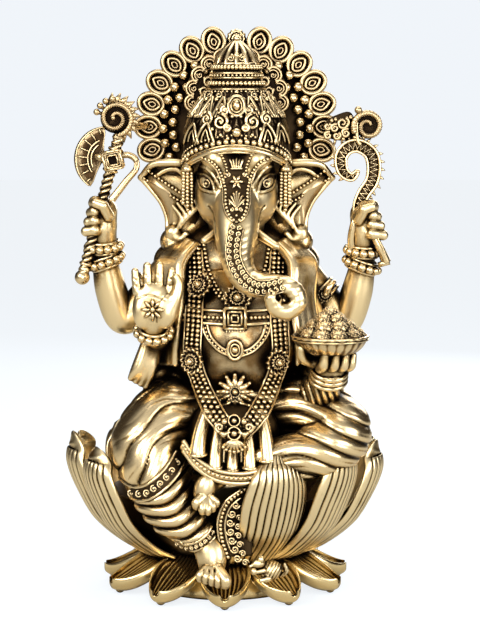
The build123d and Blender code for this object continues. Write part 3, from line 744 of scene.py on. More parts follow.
def ear(side, name):
    """One folded ear: a pointed sheet with rolled edges, two rows of beads and creases by the cheek."""
    def at(x, y, z, *rest):
        return from_face(side * x, y, z, *rest)

    near, far = at(15, 0, 0), at(56, 0, 0)
    clay = Clay(np.minimum(near, far) + (0, 0, -38), np.maximum(near, far) + (0, 20, 14), FINE)
    thin = ((0, 1, 0), 0.35)
    clay.limb([at(26, 8, -2, 6.5), at(34, 9, -1, 5.0), at(42, 9.5, 1.5, 3.4), at(48, 10, 2.0, 2.0)],
              24, 1, thin)
    clay.limb([at(27, 10, -6, 8.0), at(29, 10, -16, 6.4), at(29, 9, -26, 4.8)], 24, 2, thin)
    top_edge = [at(20, 2, 9, 1.6), at(29, 2, 9.5, 2.0), at(37, 4, 9.6, 2.0), at(44.5, 7, 8.0, 1.9),
                at(50.3, 9, 1.6, 1.5)]
    clay.limb(top_edge, 40, 0.8)
    clay.limb([at(26, 3, 2, 1.4), at(31, 4, 6.2, 1.5), at(37, 6, 5.6, 1.3), at(42, 7.5, 2.5, 1.1)], 24, 0.8)
    low_edge = [at(50.3, 9, 1.6, 1.5), at(45.6, 9.5, -4.2, 1.2), at(40, 10, -11.5, 1.2),
                at(36.8, 10, -19.5, 1.2), at(36.0, 9, -27, 1.6), at(34.4, 8, -30.2, 2.2),
                at(29, 7, -30.8, 2.4), at(26.5, 6, -28, 1.8)]
    clay.limb(low_edge, 60, 1.0)
    clay.egg(at(33.0, 8, -27.5), (4.2, 3.0, 4.0), 1.5)
    for k in range(5):
        bottom = at(31.5 - 1.9 * k, 6.0 - k * 0.6, -26.5 + 2.2 * k, 0.9)
        swing = at(29.0 - 2.2 * k, 5.6 - k * 0.7, -19.5 + 1.6 * k, 1.25)
        top = at(33.5 - 2.6 * k, 6.5 - k * 0.8, -13.0 + 1.2 * k, 0.7)
        clay.limb([bottom, swing, top], 16, 0.7)
    clay.skin(name + "_skin", SKIN, name)

    outline = curve([(18, 8), (29, 9.0), (37, 9.0), (44.5, 7.0), (49.3, 1.6), (44.8, -4.2), (39.4, -11.5),
                     (36.4, -19.5), (35.4, -27), (29, -29.6), (22, -24), (18, -10), (18, 8)], 90)[:-1]
    back = Heap()
    back.tube([np.array([at(x, depth, z) for x, z in outline]) for depth in (8.4, 10.6)])
    back.finish(name + "_ground", AGED)
    beads = Heap()
    for row in (((48.5, 1.0), (43.0, -2.5), (37.0, -6.5), (31.0, -10.0), (27.0, -11.5)),
                ((46.0, 5.0), (40.0, 0.6), (34.0, -3.4), (28.0, -7.2))):
        x, z = evenly(curve(row, 30), 2.0).T
        beads.balls(clay.front(EYE_LEVEL, side * x, z, 0.6), 0.95)
    beads.finish(name + "_beads", ORNAMENT)


def side_tassels():
    """Bead strings that hang from the headband beside the cheeks: three columns with a cap."""
    heap = Heap()
    y = middle("side_tassels")[1] - 6.5
    top, foot = high("side_tassels")[2] - 3.5, low("side_tassels")[2] - 1.5
    count = 11
    spread = 1 + 0.15 * np.arange(count) / count
    for side in (-1, 1):
        x = AXIS + side * 25.2
        for shift, forward, rise in ((-2.0, 0, 3.0), (0.0, 0.6, 1.5), (2.0, 0, 3.0)):
            levels = np.linspace(top - 2, foot + rise, count)
            heap.balls(np.c_[x + shift * spread, np.full(count, y - forward), levels], 1.25)
        heap.cord([(x, y + 1.6, top), (x, y + 1.6, foot + 2)], 2.2, 10)
        heap.disc((x, y + 0.5, top - 1.2), (0, 0, 1), 3.4, lambda s, a: 3.6 * (1 - s ** 1.6),
                  rings=8, spokes=24, depth=1.6)
        heap.balls([(x, y + 0.5, top + 3.4), (x, y, foot - 0.6)], [1.4, 1.1])
    heap.finish("side_tassels_beads", ORNAMENT, "side_tassels")


# ---------------------------------------------------------------- crown and halo

def on_dome(angle, z, lift=0.0):
    """A place on the crown: angle 0 is in front, and positive to the idol's left, in degrees."""
    a = np.radians(angle)
    radius = np.interp(z, (-22, -11, 0, 4, 8, 12, 16, 20, 24),
                       (26.8, 27.6, 27.6, 26.9, 25.4, 23.2, 20.6, 17.6, 14.6))
    return level_ring(DOME, DOME[2] + z, radius + lift, a - PI / 2)


def brow_drop(angle):
    """How far the crown's rim hangs below its level in front, at an angle in degrees."""
    return -14.5 * (1 - np.cos(np.radians(np.minimum(np.abs(angle), 90)))) ** 0.9


def from_middle(angle, count, shift=0.0):
    """How far, 0 to 1, an angle is from the middle of its share when the turn is cut into equal shares."""
    return np.abs((angle / 360 * count + shift) % 1 - 0.5) * 2


def arch(width, rise, z):
    """The half-width, at a height, of an arch with a round top at rise."""
    return width * math.sqrt(max(0.0, 1 - (z / rise) ** 2)) if z > 0 else width


def crown_relief(angle, z):
    """How far the chasing of the crown stands out: pointed leaves below, then clouds, then fine tips."""
    leaves = from_middle(angle, 16, 0.5)
    outer, inner = arch(0.80, 9.5, z - 1.0), arch(0.42, 6.5, z)
    leaf = 0.55 * ridge(leaves - outer, 0.13) + 0.45 * ridge(leaves - inner, 0.10) + 0.5 * ridge(leaves, 0.12)
    clouds, lift = from_middle(angle, 12), z - 9.5
    cloud = (0.9 * ridge(clouds - arch(0.85, 9.5, lift), 0.14)
             + 0.8 * ridge(clouds - arch(0.45, 6.0, lift), 0.12))
    tips = 0.55 * ridge(from_middle(angle, 24) - 0.6 * max(0.0, 1 - abs(z - 18.5) / 4.5), 0.16)
    return leaf * (z < 11) + cloud * (0 <= lift <= 9.5) + tips * (z > 15.5) - 0.3


def crown_bulb():
    """The round lower crown, chased all round, with a rim that rises in an arch over the brow."""
    heap = Heap()
    angle = np.arange(240) * 360 / 240
    drop = brow_drop(np.minimum(angle, 360 - angle))
    rings = []
    for z in np.linspace(-11, 24, 56):
        rim = z if z > 0 else z / 11 * (7.0 - drop)
        ring = on_dome(angle, rim + 0 * angle)
        out = unit_rows((ring - DOME) * (1, 1, 0))
        rings.append(ring + out * crown_relief(angle, z)[:, None])
    heap.tube(rings)
    heap.finish("crown_bulb_chased", AGED, "crown_bulb")


def headband():
    """The rolled rim over the forehead with a line under it and a row of beads above."""
    heap = Heap()
    angle = np.linspace(-100, 100, 90)
    drop = brow_drop(angle)
    rim = on_dome(angle, -6.0 + drop, 0.9)
    for lift, radius, sides in ((0, 1.55, 12), (-1.7, 0.7, 8), (1.9, 0.55, 8)):
        heap.cord(rim + (0, 0, lift), radius, sides)
    heap.balls(evenly(on_dome(angle, -2.2 + drop * 0.96, 1.0), 3.5), 1.5)
    heap.balls(evenly(on_dome(angle, 0.8 + drop * 0.92, 0.6), 2.4), 0.75)
    heap.finish("headband", ORNAMENT)


def crown_front():
    """The jewel, scrolls and arches on the front of the crown, and the clouds round its upper half."""
    heap = Heap()

    def at(x, z, lift=1.2):
        return on_dome(np.degrees(np.arcsin(np.asarray(x, float) / 27.0)), np.asarray(z, float), lift)

    jewel = at(0, 15.6, 2.2)
    for radius, thick in ((4.6, 0.9), (3.0, 0.6)):
        heap.hoop(jewel, (0, -1, 0.35), radius, thick, wide=0.9, tall=1.15)
    heap.balls([jewel], 2.6, (0.75, 0.8, 1.15))
    heap.balls([at(0, 2.2, 1.6), at(0, 22.5, 2.2)], [2.4, 1.3])
    for side in (-1, 1):
        for x, up, radius, hand in ((8.2, 7.6, 4.2, 1), (4.2, 4.6, 2.1, -1), (15.5, 9.0, 3.4, 1),
                                    (6.6, 13.0, 2.4, -1)):
            place = at(side * x, up, 1.6)
            normal = unit((side * math.sin(x / 27), -math.cos(x / 27), 0.12))
            heap.curl(place, normal, radius, 1.5, PI / 2, side * hand, (0.95, 0.6))
            heap.balls([place], 0.9)
        t = np.linspace(-1, 1, 24)
        for x, width, top in ((15.2, 4.6, 6.8), (22.0, 3.6, 6.2)):
            rise, swell = 1 - np.abs(t) ** 1.7, np.sqrt(1 - (0.55 * (1 - np.abs(t))) ** 2)
            heap.cord(at(side * (x + width * t * swell), -4.0 + (top + 4.0) * rise, 1.0), 0.85)
            heap.cord(at(side * (x + 0.45 * width * t), -3.0 + (top - 0.5) * rise, 0.9), 0.55, 6)
        studs = ((4.2, -0.8, 1.2), (7.6, 0.9, 1.2), (2.4, 10.2, 1.4), (11.8, 3.8, 1.2), (11.5, 13.6, 1.4))
        heap.balls([at(side * x, z, lift) for x, z, lift in studs], 1.0)
    for k in (-5, -4, -3, -2, -1, 1, 2, 3, 4, 5):
        crown_cloud(heap, k * 21.0, 1 if k > 0 else -1)
    heap.finish("crown_front_scrolls", ORNAMENT)


def crown_cloud(heap, turn, hand):
    """One arched cloud on the upper crown, at an angle in degrees, with its beads and its curl."""
    t = np.linspace(-1, 1, 22)
    for width, top, thick in ((9.5, 20.0, 0.85), (5.0, 16.5, 0.6)):
        rise = 9.4 + (top - 9.4) * (1 - np.abs(t) ** 1.8)
        heap.cord(on_dome(turn + width * t * (1 - 0.25 * (1 - np.abs(t))), rise, 0.7), thick)
    between = 10.5 * hand
    heap.balls([on_dome(turn, 12.0, 0.7), on_dome(turn - between, 18.8, 1.0)], [1.1, 1.2])
    a = math.radians(turn)
    heap.curl(on_dome(turn + between, 21.0, 0.8), (math.sin(a), -math.cos(a), 0.6), 2.0, 1.2, PI / 2, hand,
              0.6, 16, 6)


def crown_tiers():
    """Five beaded rings, large and small in turn, between the bulb and the dome."""
    heap, core = Heap(), Heap()
    foot, top = low("crown_tiers")[2], high("crown_tiers")[2]
    levels = np.linspace(foot + 1.0, top - 1.0, 5)
    for k, z in enumerate(levels):
        radius = 16.2 - 0.85 * k
        if k % 2:
            for shift in (-1.2, 1.2):
                heap.hoop((CROWN[0], CROWN[1], z + shift), (0, 0, 1), radius - 0.3, 0.6, 8, 60)
        heap.balls(level_ring(CROWN, z, radius, whole_turn(40)), 0.75 if k % 2 else 1.3)
    for z, radius in ((top, 12.6), (levels[2], 14.4)):
        core.disc((CROWN[0], CROWN[1], z), (0, 0, 1), radius, rings=4, depth=z - foot)
    core.finish("crown_tiers_ground", RECESS)
    heap.finish("crown_tiers_beaded", ORNAMENT, "crown_tiers")


def crown_dome():
    """The pointed dome with upright ribs and a bead on top."""
    heap = Heap()
    foot, top = low("crown_dome")[2], high("crown_dome")[2]
    axis = np.array([CROWN[0], CROWN[1], foot])
    rib_count = 12
    angle = whole_turn(144)
    rings = []
    for t in np.linspace(0, 1, 24):
        radius = 10.8 * (1 - t ** 1.7) ** 0.75 + 0.5
        rib = 1 + 0.30 * (np.abs(np.cos(rib_count * angle / 2)) - 0.75) * (1 - t ** 3)
        rings.append(level_ring(axis, foot + (top - foot) * t, radius * rib, angle))
    heap.tube(rings)
    heap.hoop(axis + (0, 0, 0.6), (0, 0, 1), 11.0, 0.9, 8, 60)
    heap.balls([axis + (0, 0, top - foot + 0.4), axis + (0, -9.5, 5.0)], [1.7, 1.6])
    for side in (-1, 1):
        heap.curl(axis + (side * 3.0, -9.4, 3.5), (0, -1, 0.3), 2.0, 1.3, PI / 2, side, 0.55, 16, 6)
    heap.finish("crown_dome_ribbed", ORNAMENT, "crown_dome")


def crown_crest():
    """The cloud-edged plate behind the crown: thirteen lobes, each with curls, on a dark ground."""
    heap, ground = Heap(), Heap()
    centre = np.array([AXIS, 11.0, middle("halo_feathers")[2] - 2.0])
    for a in np.radians(np.linspace(-24, 204, 13)):
        hand = 1 if math.cos(a) < 0 else -1
        lobe = upright(centre, 23.0, a) + (0, -1.2, 0)
        sweep = a + np.radians(np.linspace(-105, 105, 26))
        for radius, thick in ((4.2, 0.8), (2.7, 0.55)):
            heap.cord(upright(lobe, radius, sweep), thick)
        heap.curl(lobe, FORWARD, 1.6, 1.2, a, hand, 0.5, 16, 6)
        heap.curl(upright(centre, 17.4, a) + (0, -2.5, 0), FORWARD, 3.0, 1.4, a + PI, -hand, (0.85, 0.5))
        heap.balls([upright(centre, 20.0, a) + (0, -2.2, 0)], 1.0)
    ground.disc(centre, FORWARD, lambda a: 26.4 + 1.0 * np.abs(np.cos(a * 9)), rings=6, spokes=160, depth=2.5)
    ground.finish("crown_crest_ground", RECESS)
    heap.finish("crown_crest_curls", AGED, "crown_crest")


def halo_feather(feathers, ground, place, angle):
    """One feather eye: an oval rim, a pointed ring and a small core, each a closed cord, on a dark disc."""
    out, across = upright(0, 1, angle), upright(0, 1, angle + PI / 2)
    t = whole_turn(40)
    point = np.cos(t) * (1 - 0.25 * np.abs(np.sin(t)))
    outlines = ((6.6 * np.cos(t) + 0.5, 5.6, 0.9, 1.25, 8),
                (4.1 * point + 0.4 * np.maximum(point, 0) ** 3, 3.0, 1.0, 0.85, 6),
                (1.9 * point, 1.3, 0.7, 0.5, 6))
    for along, half, lift, thick, sides in outlines:
        loop = place + along[:, None] * out + half * np.sin(t)[:, None] * across - (0, lift, 0)
        feathers.loop_cord(loop, thick, sides)
    ground.disc(place, FORWARD, lambda b: 5.8 + 0.5 * np.cos(2 * (b - angle)), lambda s, b: -0.2,
                rings=3, spokes=40, depth=2.2)


def halo():
    """The halo: peacock feathers with pointed eyes, two rows of balls and the knob on top."""
    feathers, beads, ground = Heap(), Heap(), Heap()
    feather_low, feather_high = low("halo_feathers"), high("halo_feathers")
    centre = np.array([AXIS, feather_high[1] - 3.6, HALO_CENTRE_Z])
    ring = (feather_high[0] - feather_low[0]) / 2 - 6.4
    for k in range(1, 8):
        for side in (-1, 1):
            a = math.radians(90 + side * k * 15)
            halo_feather(feathers, ground, upright(centre, ring, a), a)
    for inward, count, lift in ((7.6, 21, 1.8), (12.8, 20, 2.6)):
        angles = np.radians(90 + (np.arange(count) - (count - 1) / 2) * 11.4)
        row = upright(centre, ring - inward, angles)
        beads.balls(row - (0, lift, 0), 2.75)
        for place in row - (0, 0.2, 0):
            ground.disc(place, FORWARD, 2.9, lambda s, b: 0.3, rings=2, spokes=20, depth=1.0)
    wide, below = 44, 24

    def edge(b):
        down = np.maximum(-np.sin(b), 0.01)
        return np.where(np.sin(b) < 0, np.minimum(wide, below / down), wide)

    ground.disc(centre + (0, 1.6, 0), FORWARD, edge, rings=3, spokes=180, depth=1.6)
    feathers.finish("halo_feathers_cast", AGED, "halo_feathers")
    beads.finish("halo_beads_cast", ORNAMENT, "halo_beads")
    ground.finish("halo_ground", RECESS)
    knob = Heap()
    knob.disc(middle("halo_knob") + (0, -2.5, 0), FORWARD, lambda a: 5.2 + 0.25 * np.cos(12 * a),
              lambda s, a: 2.6 * np.sqrt(1 - s ** 2 * 0.9) - 0.7 * ridge(s - 0.6, 0.08),
              rings=16, spokes=60, depth=3.0)
    knob.finish("halo_knob_cast", ORNAMENT, "halo_knob")
    paint("halo_plate", RECESS)
    paint("halo_stays", ORNAMENT)


def halo_back():
    """The chasing on the back of the halo's plate: spokes, curls and arcs round a boss."""
    heap = Heap()
    plate_thickness = 3.0
    rear = high("halo_feathers")[1] + plate_thickness + 0.3
    centre = np.array([AXIS, rear, HALO_CENTRE_Z])
    for a in np.radians(90 + 10 * np.arange(-9, 10)):
        heap.cord([upright(centre, reach, a) for reach in (12, 26, 44)], [0.9, 1.1, 0.7])
        heap.curl(upright(centre, 34, a), (0, 1, 0), 2.6, 1.3, a, 1, 0.5, 18, 6)
    for radius in (12.0, 20.0, 39.5):
        heap.cord(upright(centre, radius, np.radians(np.linspace(-4, 184, 90))), 1.0)
    heap.disc(centre, (0, 1, 0), 9.0,
              lambda s, a: 1.4 * np.sqrt(1 - 0.9 * s ** 2) + 0.4 * np.cos(9 * PI * s) * (s > 0.3),
              rings=20, spokes=60, depth=1.0)
    stub = centre + (0, 0, 19.0)            # where the plate's tenon comes through
    heap.disc(stub, (0, 1, 0), 5.6, lambda s, a: 4.6 * (1 - s ** 6) ** 0.5, rings=20, spokes=40, depth=0.5)
    heap.finish("halo_back_chased", ORNAMENT)


# ---------------------------------------------------------------- body

def torso():
    """Round belly, chest and shoulders, cut level where the lap begins."""
    clay = Clay(from_body(-46, -42, -63), from_body(46, 40, 66), COARSE)
    clay.egg(from_body(0, -3, 5), (36.0, 34.0, 36.0))
    clay.egg(from_body(0, 8, 38), (35.0, 20.5, 24.5), 8)
    clay.egg(from_body(0, 7, -35), (43.0, 29.5, 27.0), 6)
    for side in (-1, 1):
        clay.egg(from_body(side * 13, -8, 33), (13.0, 10.0, 10.0), 6)
        clay.tube([from_body(side * 12, 8, 58, 9), from_body(side * 34, 11, 46, 10)], 6)
    bottom, x, y, z = clay.window(from_body(-60, -60, -80), from_body(60, 60, -62.5))
    above = z - from_body(0, 0, -62.4)[2] + 0 * x + 0 * y
    clay.field[bottom] = np.maximum(clay.field[bottom], -above)
    clay.skin("torso_skin", BODY, "torso")
    return clay


def body_front(clay, points, lift=0.0):
    """Places on the front of the body; below the belly they come forward onto the lap."""
    lap_top, lap_depth = -12, 14
    places = []
    for x, z in points:
        found = clay.front(TORSO, x, z, lift)
        place = found[0] if len(found) else from_body(x, -10, z)
        if z < lap_top:
            share = min(1.0, (lap_top - z) / lap_depth)
            place = place * (1, 1 - share, 1) + (0, share * (LAP[1] + 5.0 - 6.0 * share), 0)
        places.append(place)
    return np.array(places)


def garland(clay):
    """Three strings of beads between two cords from each shoulder to a point over the lap, and a collar."""
    heap = Heap()
    spacing = 2.5
    for side in (-1, 1):
        line = curve([(side * x, z) for x, z in (
            (22.5, 54), (21.5, 40), (22, 20), (22.6, 1), (18, -14), (10.5, -26), (2.0, -35))], 80)
        for strand in (-1, 0, 1):
            stops = evenly(shifted(line, -strand * spacing), 2.3)
            heap.balls(body_front(clay, stops, 2.2), 1.2)
        for edge in (-1.75, 1.75):
            heap.cord(body_front(clay, evenly(shifted(line, -edge * spacing), 2.5), 1.4), 0.55, 6)
        collar = curve([(side * x, z) for x, z in ((17.0, 56), (14.5, 44), (9, 34), (3, 29))], 40)
        for shift in (0, 2.4):
            heap.balls(body_front(clay, evenly(collar + (side * shift, 0), 2.05), 0.8), 0.95)
    heap.finish("garland_beads", ORNAMENT, "garland")


def rosette(heap, place, normal, radius):
    """A round medallion: a toothed rim, a ring and a boss."""
    teeth = 14

    def height(s, a):
        rim = 1.2 * ridge(s - 0.92, 0.12) * (0.7 + 0.3 * np.cos(teeth * a))
        boss = 2.2 * np.sqrt(np.clip(1 - (s / 0.36) ** 2, 0, 1)) - 0.5 * ridge(s - 0.16, 0.05)
        return 0.3 + rim + 1.3 * ridge(s - 0.52, 0.08) + boss

    heap.disc(place, normal, lambda a: radius * (1 + 0.10 * np.cos(teeth * a)), height,
              rings=22, spokes=112, depth=2.0)
    heap.balls([np.array(place) + unit(normal) * 2.4], 0.26 * radius)


def medallions(clay):
    """Rosettes on the garlands and under the trunk, and the pendant fan where the garlands meet."""
    heap = Heap()
    for x, z, radius in ((-19.0, 36.5, 6.3), (-22.8, -0.8, 6.3), (21.0, -1.3, 6.3), (0.4, 31.0, 6.6)):
        rosette(heap, body_front(clay, [(x, z)], 5.2)[0], (x / 34, -1.0, (z - 4) / 60), radius)

    def button(s, a):
        return ridge(s - 0.85, 0.15) + 1.6 * np.sqrt(np.clip(1 - (s / 0.45) ** 2, 0, 1))

    for z, radius in ((-28.0, 3.3), (-34.5, 3.7)):
        place = body_front(clay, [(-1.2, z)], 2.5)[0] + (0, -3.0, 0)
        heap.disc(place, (0, -1, 0.1), radius, button, rings=14, spokes=40, depth=2.0)
        heap.balls([place + (side * (radius + 1.6), 0, -0.5) for side in (-1, 1)], 1.5)
    fan = place + (0, 0.4, -2.6)
    for a in np.radians(-90 + 17 * np.arange(-3, 4)):
        tip = fan + (7.0 * math.cos(a), 0.2, 6.4 * math.sin(a))
        heap.cord([fan, (fan + tip) / 2 + (0, -0.6, 0), tip], [0.7, 1.0, 0.8])
        heap.balls([tip + (0, 0, -0.4)], 0.95)
    for side in (-1, 1):
        heap.curl(place + (side * 7.4, 0, 3.0), FORWARD, 2.3, 1.4, -PI / 2, side, (0.9, 0.5), 20)
        branch = [place + p for p in ((side * 2.0, 0, 0.8), (side * 5.2, -0.3, -0.6), (side * 7.4, 0, 0.7))]
        heap.cord(branch, [1.0, 1.0, 0.85])
    heap.finish("medallions_chased", ORNAMENT, "medallions")


def belly_band(clay):
    """Strap under the chest with a square buckle, looped bands to an oval drop, and a flower pendant."""
    heap = Heap()
    for level_z in (18.0, 24.4):
        strap = [(x, level_z + 0.0008 * x * x) for x in np.linspace(-30, 30, 40)]
        heap.cord(body_front(clay, strap, 0.3), 0.8)
    strap_z, middle_x, buckle = 21.2, -0.8, 5.3
    beads = [(x, strap_z) for x in np.linspace(-29, 29, 28) if abs(x) > buckle + 1.1]
    heap.balls(body_front(clay, beads, 0.6), 1.05)
    place = body_front(clay, [(middle_x, strap_z)], 1.5)[0]
    for half, thick in ((buckle, 0.9), (3.4, 0.6), (1.7, 0.5)):
        raised = 0.8 + 0.2 * (buckle - half)
        heap.square(lambda x, z: place + (x, -raised, z), half, thick)
    ground = Heap()
    ground.disc(place, (0, -1, 0.1), lambda a: 5.2 / np.maximum(np.abs(np.cos(a)), np.abs(np.sin(a))),
                lambda s, a: 0.4, rings=4, spokes=64, depth=2.0)
    ground.finish("buckle_ground", RECESS)
    for x in 1.4 * np.arange(-3, 4):
        heap.cord([place + (x, -0.4, -5.4), place + (x, -0.2, -8.4)], [0.6, 0.45], 6)
    for side in (-1, 1):
        for shift in (0, 2.6):
            band = [(15 + shift, 17.8), (12.8 + shift, 11.6), (7.4 + shift * 0.7, 6.2 - shift * 0.5),
                    (1.5, 4.2 - shift)]
            heap.cord(body_front(clay, curve([(side * x, z) for x, z in band], 30), 0.3), 0.75)
        beads = curve([(side * x, z) for x, z in ((16.3, 17.8), (14.1, 10.8), (8.2, 5.4), (1.5, 2.8))], 30)
        heap.balls(body_front(clay, evenly(beads, 2.0), 0.5), 0.8)
    drop = body_front(clay, [(middle_x, 5.4)], 1.2)[0]
    for forward, radius, thick in ((0, 4.3, 0.85), (0.4, 2.6, 0.5)):
        heap.hoop(drop - (0, forward, 0), (0, -1, -0.05), radius, thick, wide=0.85, tall=1.15)
    heap.balls([drop + (0, -0.6, 0)], 1.7)
    pendant(heap, body_front(clay, [(middle_x, -12.0)], 3.0)[0] + (0, -1.5, -4.2))
    heap.finish("belly_band_chased", ORNAMENT, "belly_band")


def pendant(heap, centre):
    """The flower under the belly: twelve petals round a rosette, with a curl hanging on each side."""
    for a in whole_turn(12):
        tip = upright(centre, 8.6, a) + (0, 0.4, 0)
        heap.cord([centre, (centre + tip) / 2 + (0, -1.2, 0), tip], [0.8, 1.6, 1.0])
        heap.balls([tip + (0, -0.4, 0)], 0.9)
    rosette(heap, centre + (0, -1.4, 0), (0, -1, 0.1), 5.0)
    for side in (-1, 1):
        curl = centre + (side * 6.6, -0.5, -9.6)
        heap.curl(curl, FORWARD, 2.7, 1.3, PI / 2, -side, (1.0, 0.6))
        stem = [centre + (side * 1.0, -0.8, -3.0), centre + (side * 3.0, -1.0, -6.0), curl + (0, 0, 2.7)]
        heap.cord(stem, 1.0)


def shawl():
    """Hanging folds of the shawl from both shoulders, and its loose end behind the blessing arm."""
    clay = Clay(from_body(-60, -40, -22), from_body(52, 30, 84), COARSE)
    for side in (-1, 1):
        over = [(12, 14, 74, 8.0), (22, 13, 66, 8.5), (33, 9, 57, 7.5)]
        clay.limb([from_body(side * x, y, z, r) for x, y, z, r in over], 24, 4)
        for k in range(4):
            x = 38.5 - 3.3 * k
            fold = [(32.0 - 3.4 * k, 6 - 3.0 * k, 57 - 1.2 * abs(k - 2), 2.6),
                    (x * 1.02, -1.5 - 2.8 * k, 46, 3.4), (x, -6.0 - 3.0 * k, 30, 3.1),
                    (x + 2, -11 - 3.0 * k, 12, 3.0), (x + 3, -12 - 2.5 * k, -4, 2.2)]
            clay.limb([from_body(side * out, y, z, r) for out, y, z, r in fold], 36, 2.8)
    for k in range(4):
        clay.limb([from_body(-41 - 2.0 * k, -18 - 1.5 * k, 6, 2.8),
                   from_body(-44 - 2.4 * k, -20 - k, -6, 3.2),
                   from_body(-47 - 2.6 * k, -22, -16 + 1.5 * k, 1.6)], 20, 1.2)
    clay.skin("shawl_folds", CLOTH, "shawl")


def waist_cloth():
    """The wrapped cloth round the hips, with folds that run round behind the figure."""
    clay = Clay(from_body(-54, -34, -66), from_body(56, 42, 30), COARSE)
    clay.egg(from_body(1, 3, -22), (45.0, 31.0, 20.0))
    clay.egg(from_body(0, 6, -44), (43.0, 30.0, 20.0), 5)
    clay.limb([from_body(30, -2, 20, 7.5), from_body(38, -8, 2, 8.5), from_body(42, -14, -12, 9.0),
               from_body(40, -18, -22, 6.0)], 30, 4)
    clay.limb([from_body(-34, 0, 10, 6.0), from_body(-40, -6, -6, 7.0), from_body(-42, -10, -20, 6.0)],
              24, 4)

    def folds(x, y, z):
        x, y, z = x - TORSO[0], y - TORSO[1], z - TORSO[2]
        return 2.0 * rounded((z + 0.18 * np.abs(x) + 0.9 * np.sin(x * 0.16 + y * 0.1)) / 7.4) - 0.8

    clay.emboss(from_body(-70, -60, -80), from_body(70, 60, 40), folds)
    clay.skin("waist_folds", CLOTH)


# ---------------------------------------------------------------- arms

def fist(clay, hand, side, shaft):
    """A closed hand round a shaft: back of the hand, four curled fingers and the thumb."""
    x, y, z = hand
    clay.egg((x - side * 0.5, y + 1.0, z - 2.0), (6.8, 7.2, 12.5), 3)
    clay.egg((x, y + 0.5, z + 6.0), (7.2, 6.6, 6.5), 3)
    for k in range(4):
        finger_z = z + 9.5 - 4.9 * k
        grip_x, grip_y, _ = shaft(finger_z)
        reach = 0.45 * (9.0 - 0.8 * abs(k - 1.2))
        knuckle = (x + side * 4.0, y - 5.5, finger_z + 0.8, 2.9)
        clay.tube([knuckle, (grip_x + side * 4.2, grip_y - 1.8, finger_z, 2.8),
                   (grip_x + side * reach, grip_y + 3.6, finger_z - 0.4, 2.5)], 0.5)
        clay.tube([(x, y - 2, finger_z + 1, 3.0), knuckle], 1.0)
    clay.tube([(x - side * 3, y - 5.0, z + 3, 3.2), (x - side * 0.5, y - 8.0, z + 8.5, 2.9),
               (x + side * 3.4, y - 8.8, z + 10.0, 2.4)], 0.6)


def bead_bangle(heap, centre, axis, radius):
    """A bangle of thirteen large beads between two thin smooth hoops."""
    across, up = facing(axis)
    heap.hoop(centre, axis, radius - 0.8, 1.3, count=48)
    for a in whole_turn(13):
        heap.balls([centre + (across * math.cos(a) + up * math.sin(a)) * radius], 2.35)
    for shift in (-2.6, 2.6):
        heap.hoop(centre + unit(axis) * shift, axis, radius - 1.0, 0.9, count=48)


def rear_arm(side, name, shaft, bangles, armlets):
    """A raised rear arm from shoulder to fist, with its two bead bangles and its armlet."""
    a, b = low(name), high(name)
    wrist_x = (a[0] if side < 0 else b[0]) - side * 12.5
    wrist = np.array([wrist_x, (a[1] + b[1]) / 2 - 4.0, a[2] + 43.0])
    elbow = np.array([wrist_x - side * 9.5, wrist[1] + 5.5, a[2] + 10.5])
    shoulder = np.array([AXIS + side * 34, wrist[1] + 6.5, a[2] + 37])
    clay = Clay(a - (8, 10, 4), b + (8, 6, 10), FINE)
    upper = shoulder * 0.45 + elbow * 0.55 + (0, 1, -1)
    lower = elbow * 0.5 + wrist * 0.5 + (side * 1.6, 0, -1)
    clay.limb([(*shoulder, 10.0), (*upper, 9.4), (*elbow, 8.6), (*lower, 8.4), (*wrist, 6.5),
               (*(wrist + (0, -1, 9)), 6.2)], 60)
    fist(clay, wrist + (side * 0.5, -3.5, 20.0), side, shaft)
    clay.skin(name + "_skin", SKIN, name)
    bead_bangle(bangles, wrist + (side * -0.4, 0.4, -1.5), (side * 0.35, -0.1, 1.0), 8.9)
    bead_bangle(bangles, wrist + (side * 0.3, -0.2, 6.2), (side * 0.05, -0.15, 1.0), 8.6)
    armlet(armlets, elbow, shoulder, side)


def armlet(heap, elbow, shoulder, side):
    """A chased band with a pointed crest on the upper arm."""
    place = elbow * 0.45 + shoulder * 0.55
    way = unit(shoulder - elbow)
    for shift in (-2.6, 2.6):
        heap.hoop(place + way * shift, way, 10.2, 0.9, count=56)
    across, up = facing(way)
    for a in whole_turn(26):
        heap.balls([place + (across * math.cos(a) + up * math.sin(a)) * 10.3], 1.0)
    crest = place + (side * 2, -10.6, 1)
    heap.cord([crest, crest + (side * 2.5, -0.5, 4.5), crest + (side * 5.0, 0, 7.5)], [2.4, 1.8, 0.5])
    rosette(heap, crest, (side * 0.2, -1, 0.2), 3.6)


def rear_arms():
    """Both rear arms with their armlets. Gives the heap of bangles, for the front arm to add to."""
    bangles, armlets = Heap(), Heap()
    axe_low, axe_high, axe_y = low("axe_shaft"), high("axe_shaft"), middle("axe_shaft")[1]
    goad_low, goad_high, goad_y = low("goad_grip"), high("goad_grip"), middle("goad_grip")[1]

    def axe_shaft(z):
        share = (z - axe_low[2] - 4) / (axe_high[2] - axe_low[2] - 4)
        return axe_low[0] + 4 + (axe_high[0] - axe_low[0] - 6.5) * share, axe_y, z

    def goad_grip(z):
        share = (z - goad_low[2]) / (goad_high[2] - goad_low[2])
        return goad_high[0] - 1.6 - (goad_high[0] - goad_low[0] - 4.4) * share, goad_y, z

    rear_arm(-1, "rear_right_arm", axe_shaft, bangles, armlets)
    rear_arm(1, "rear_left_arm", goad_grip, bangles, armlets)
    armlets.finish("armlets_chased", ORNAMENT, "armlets")
    return bangles


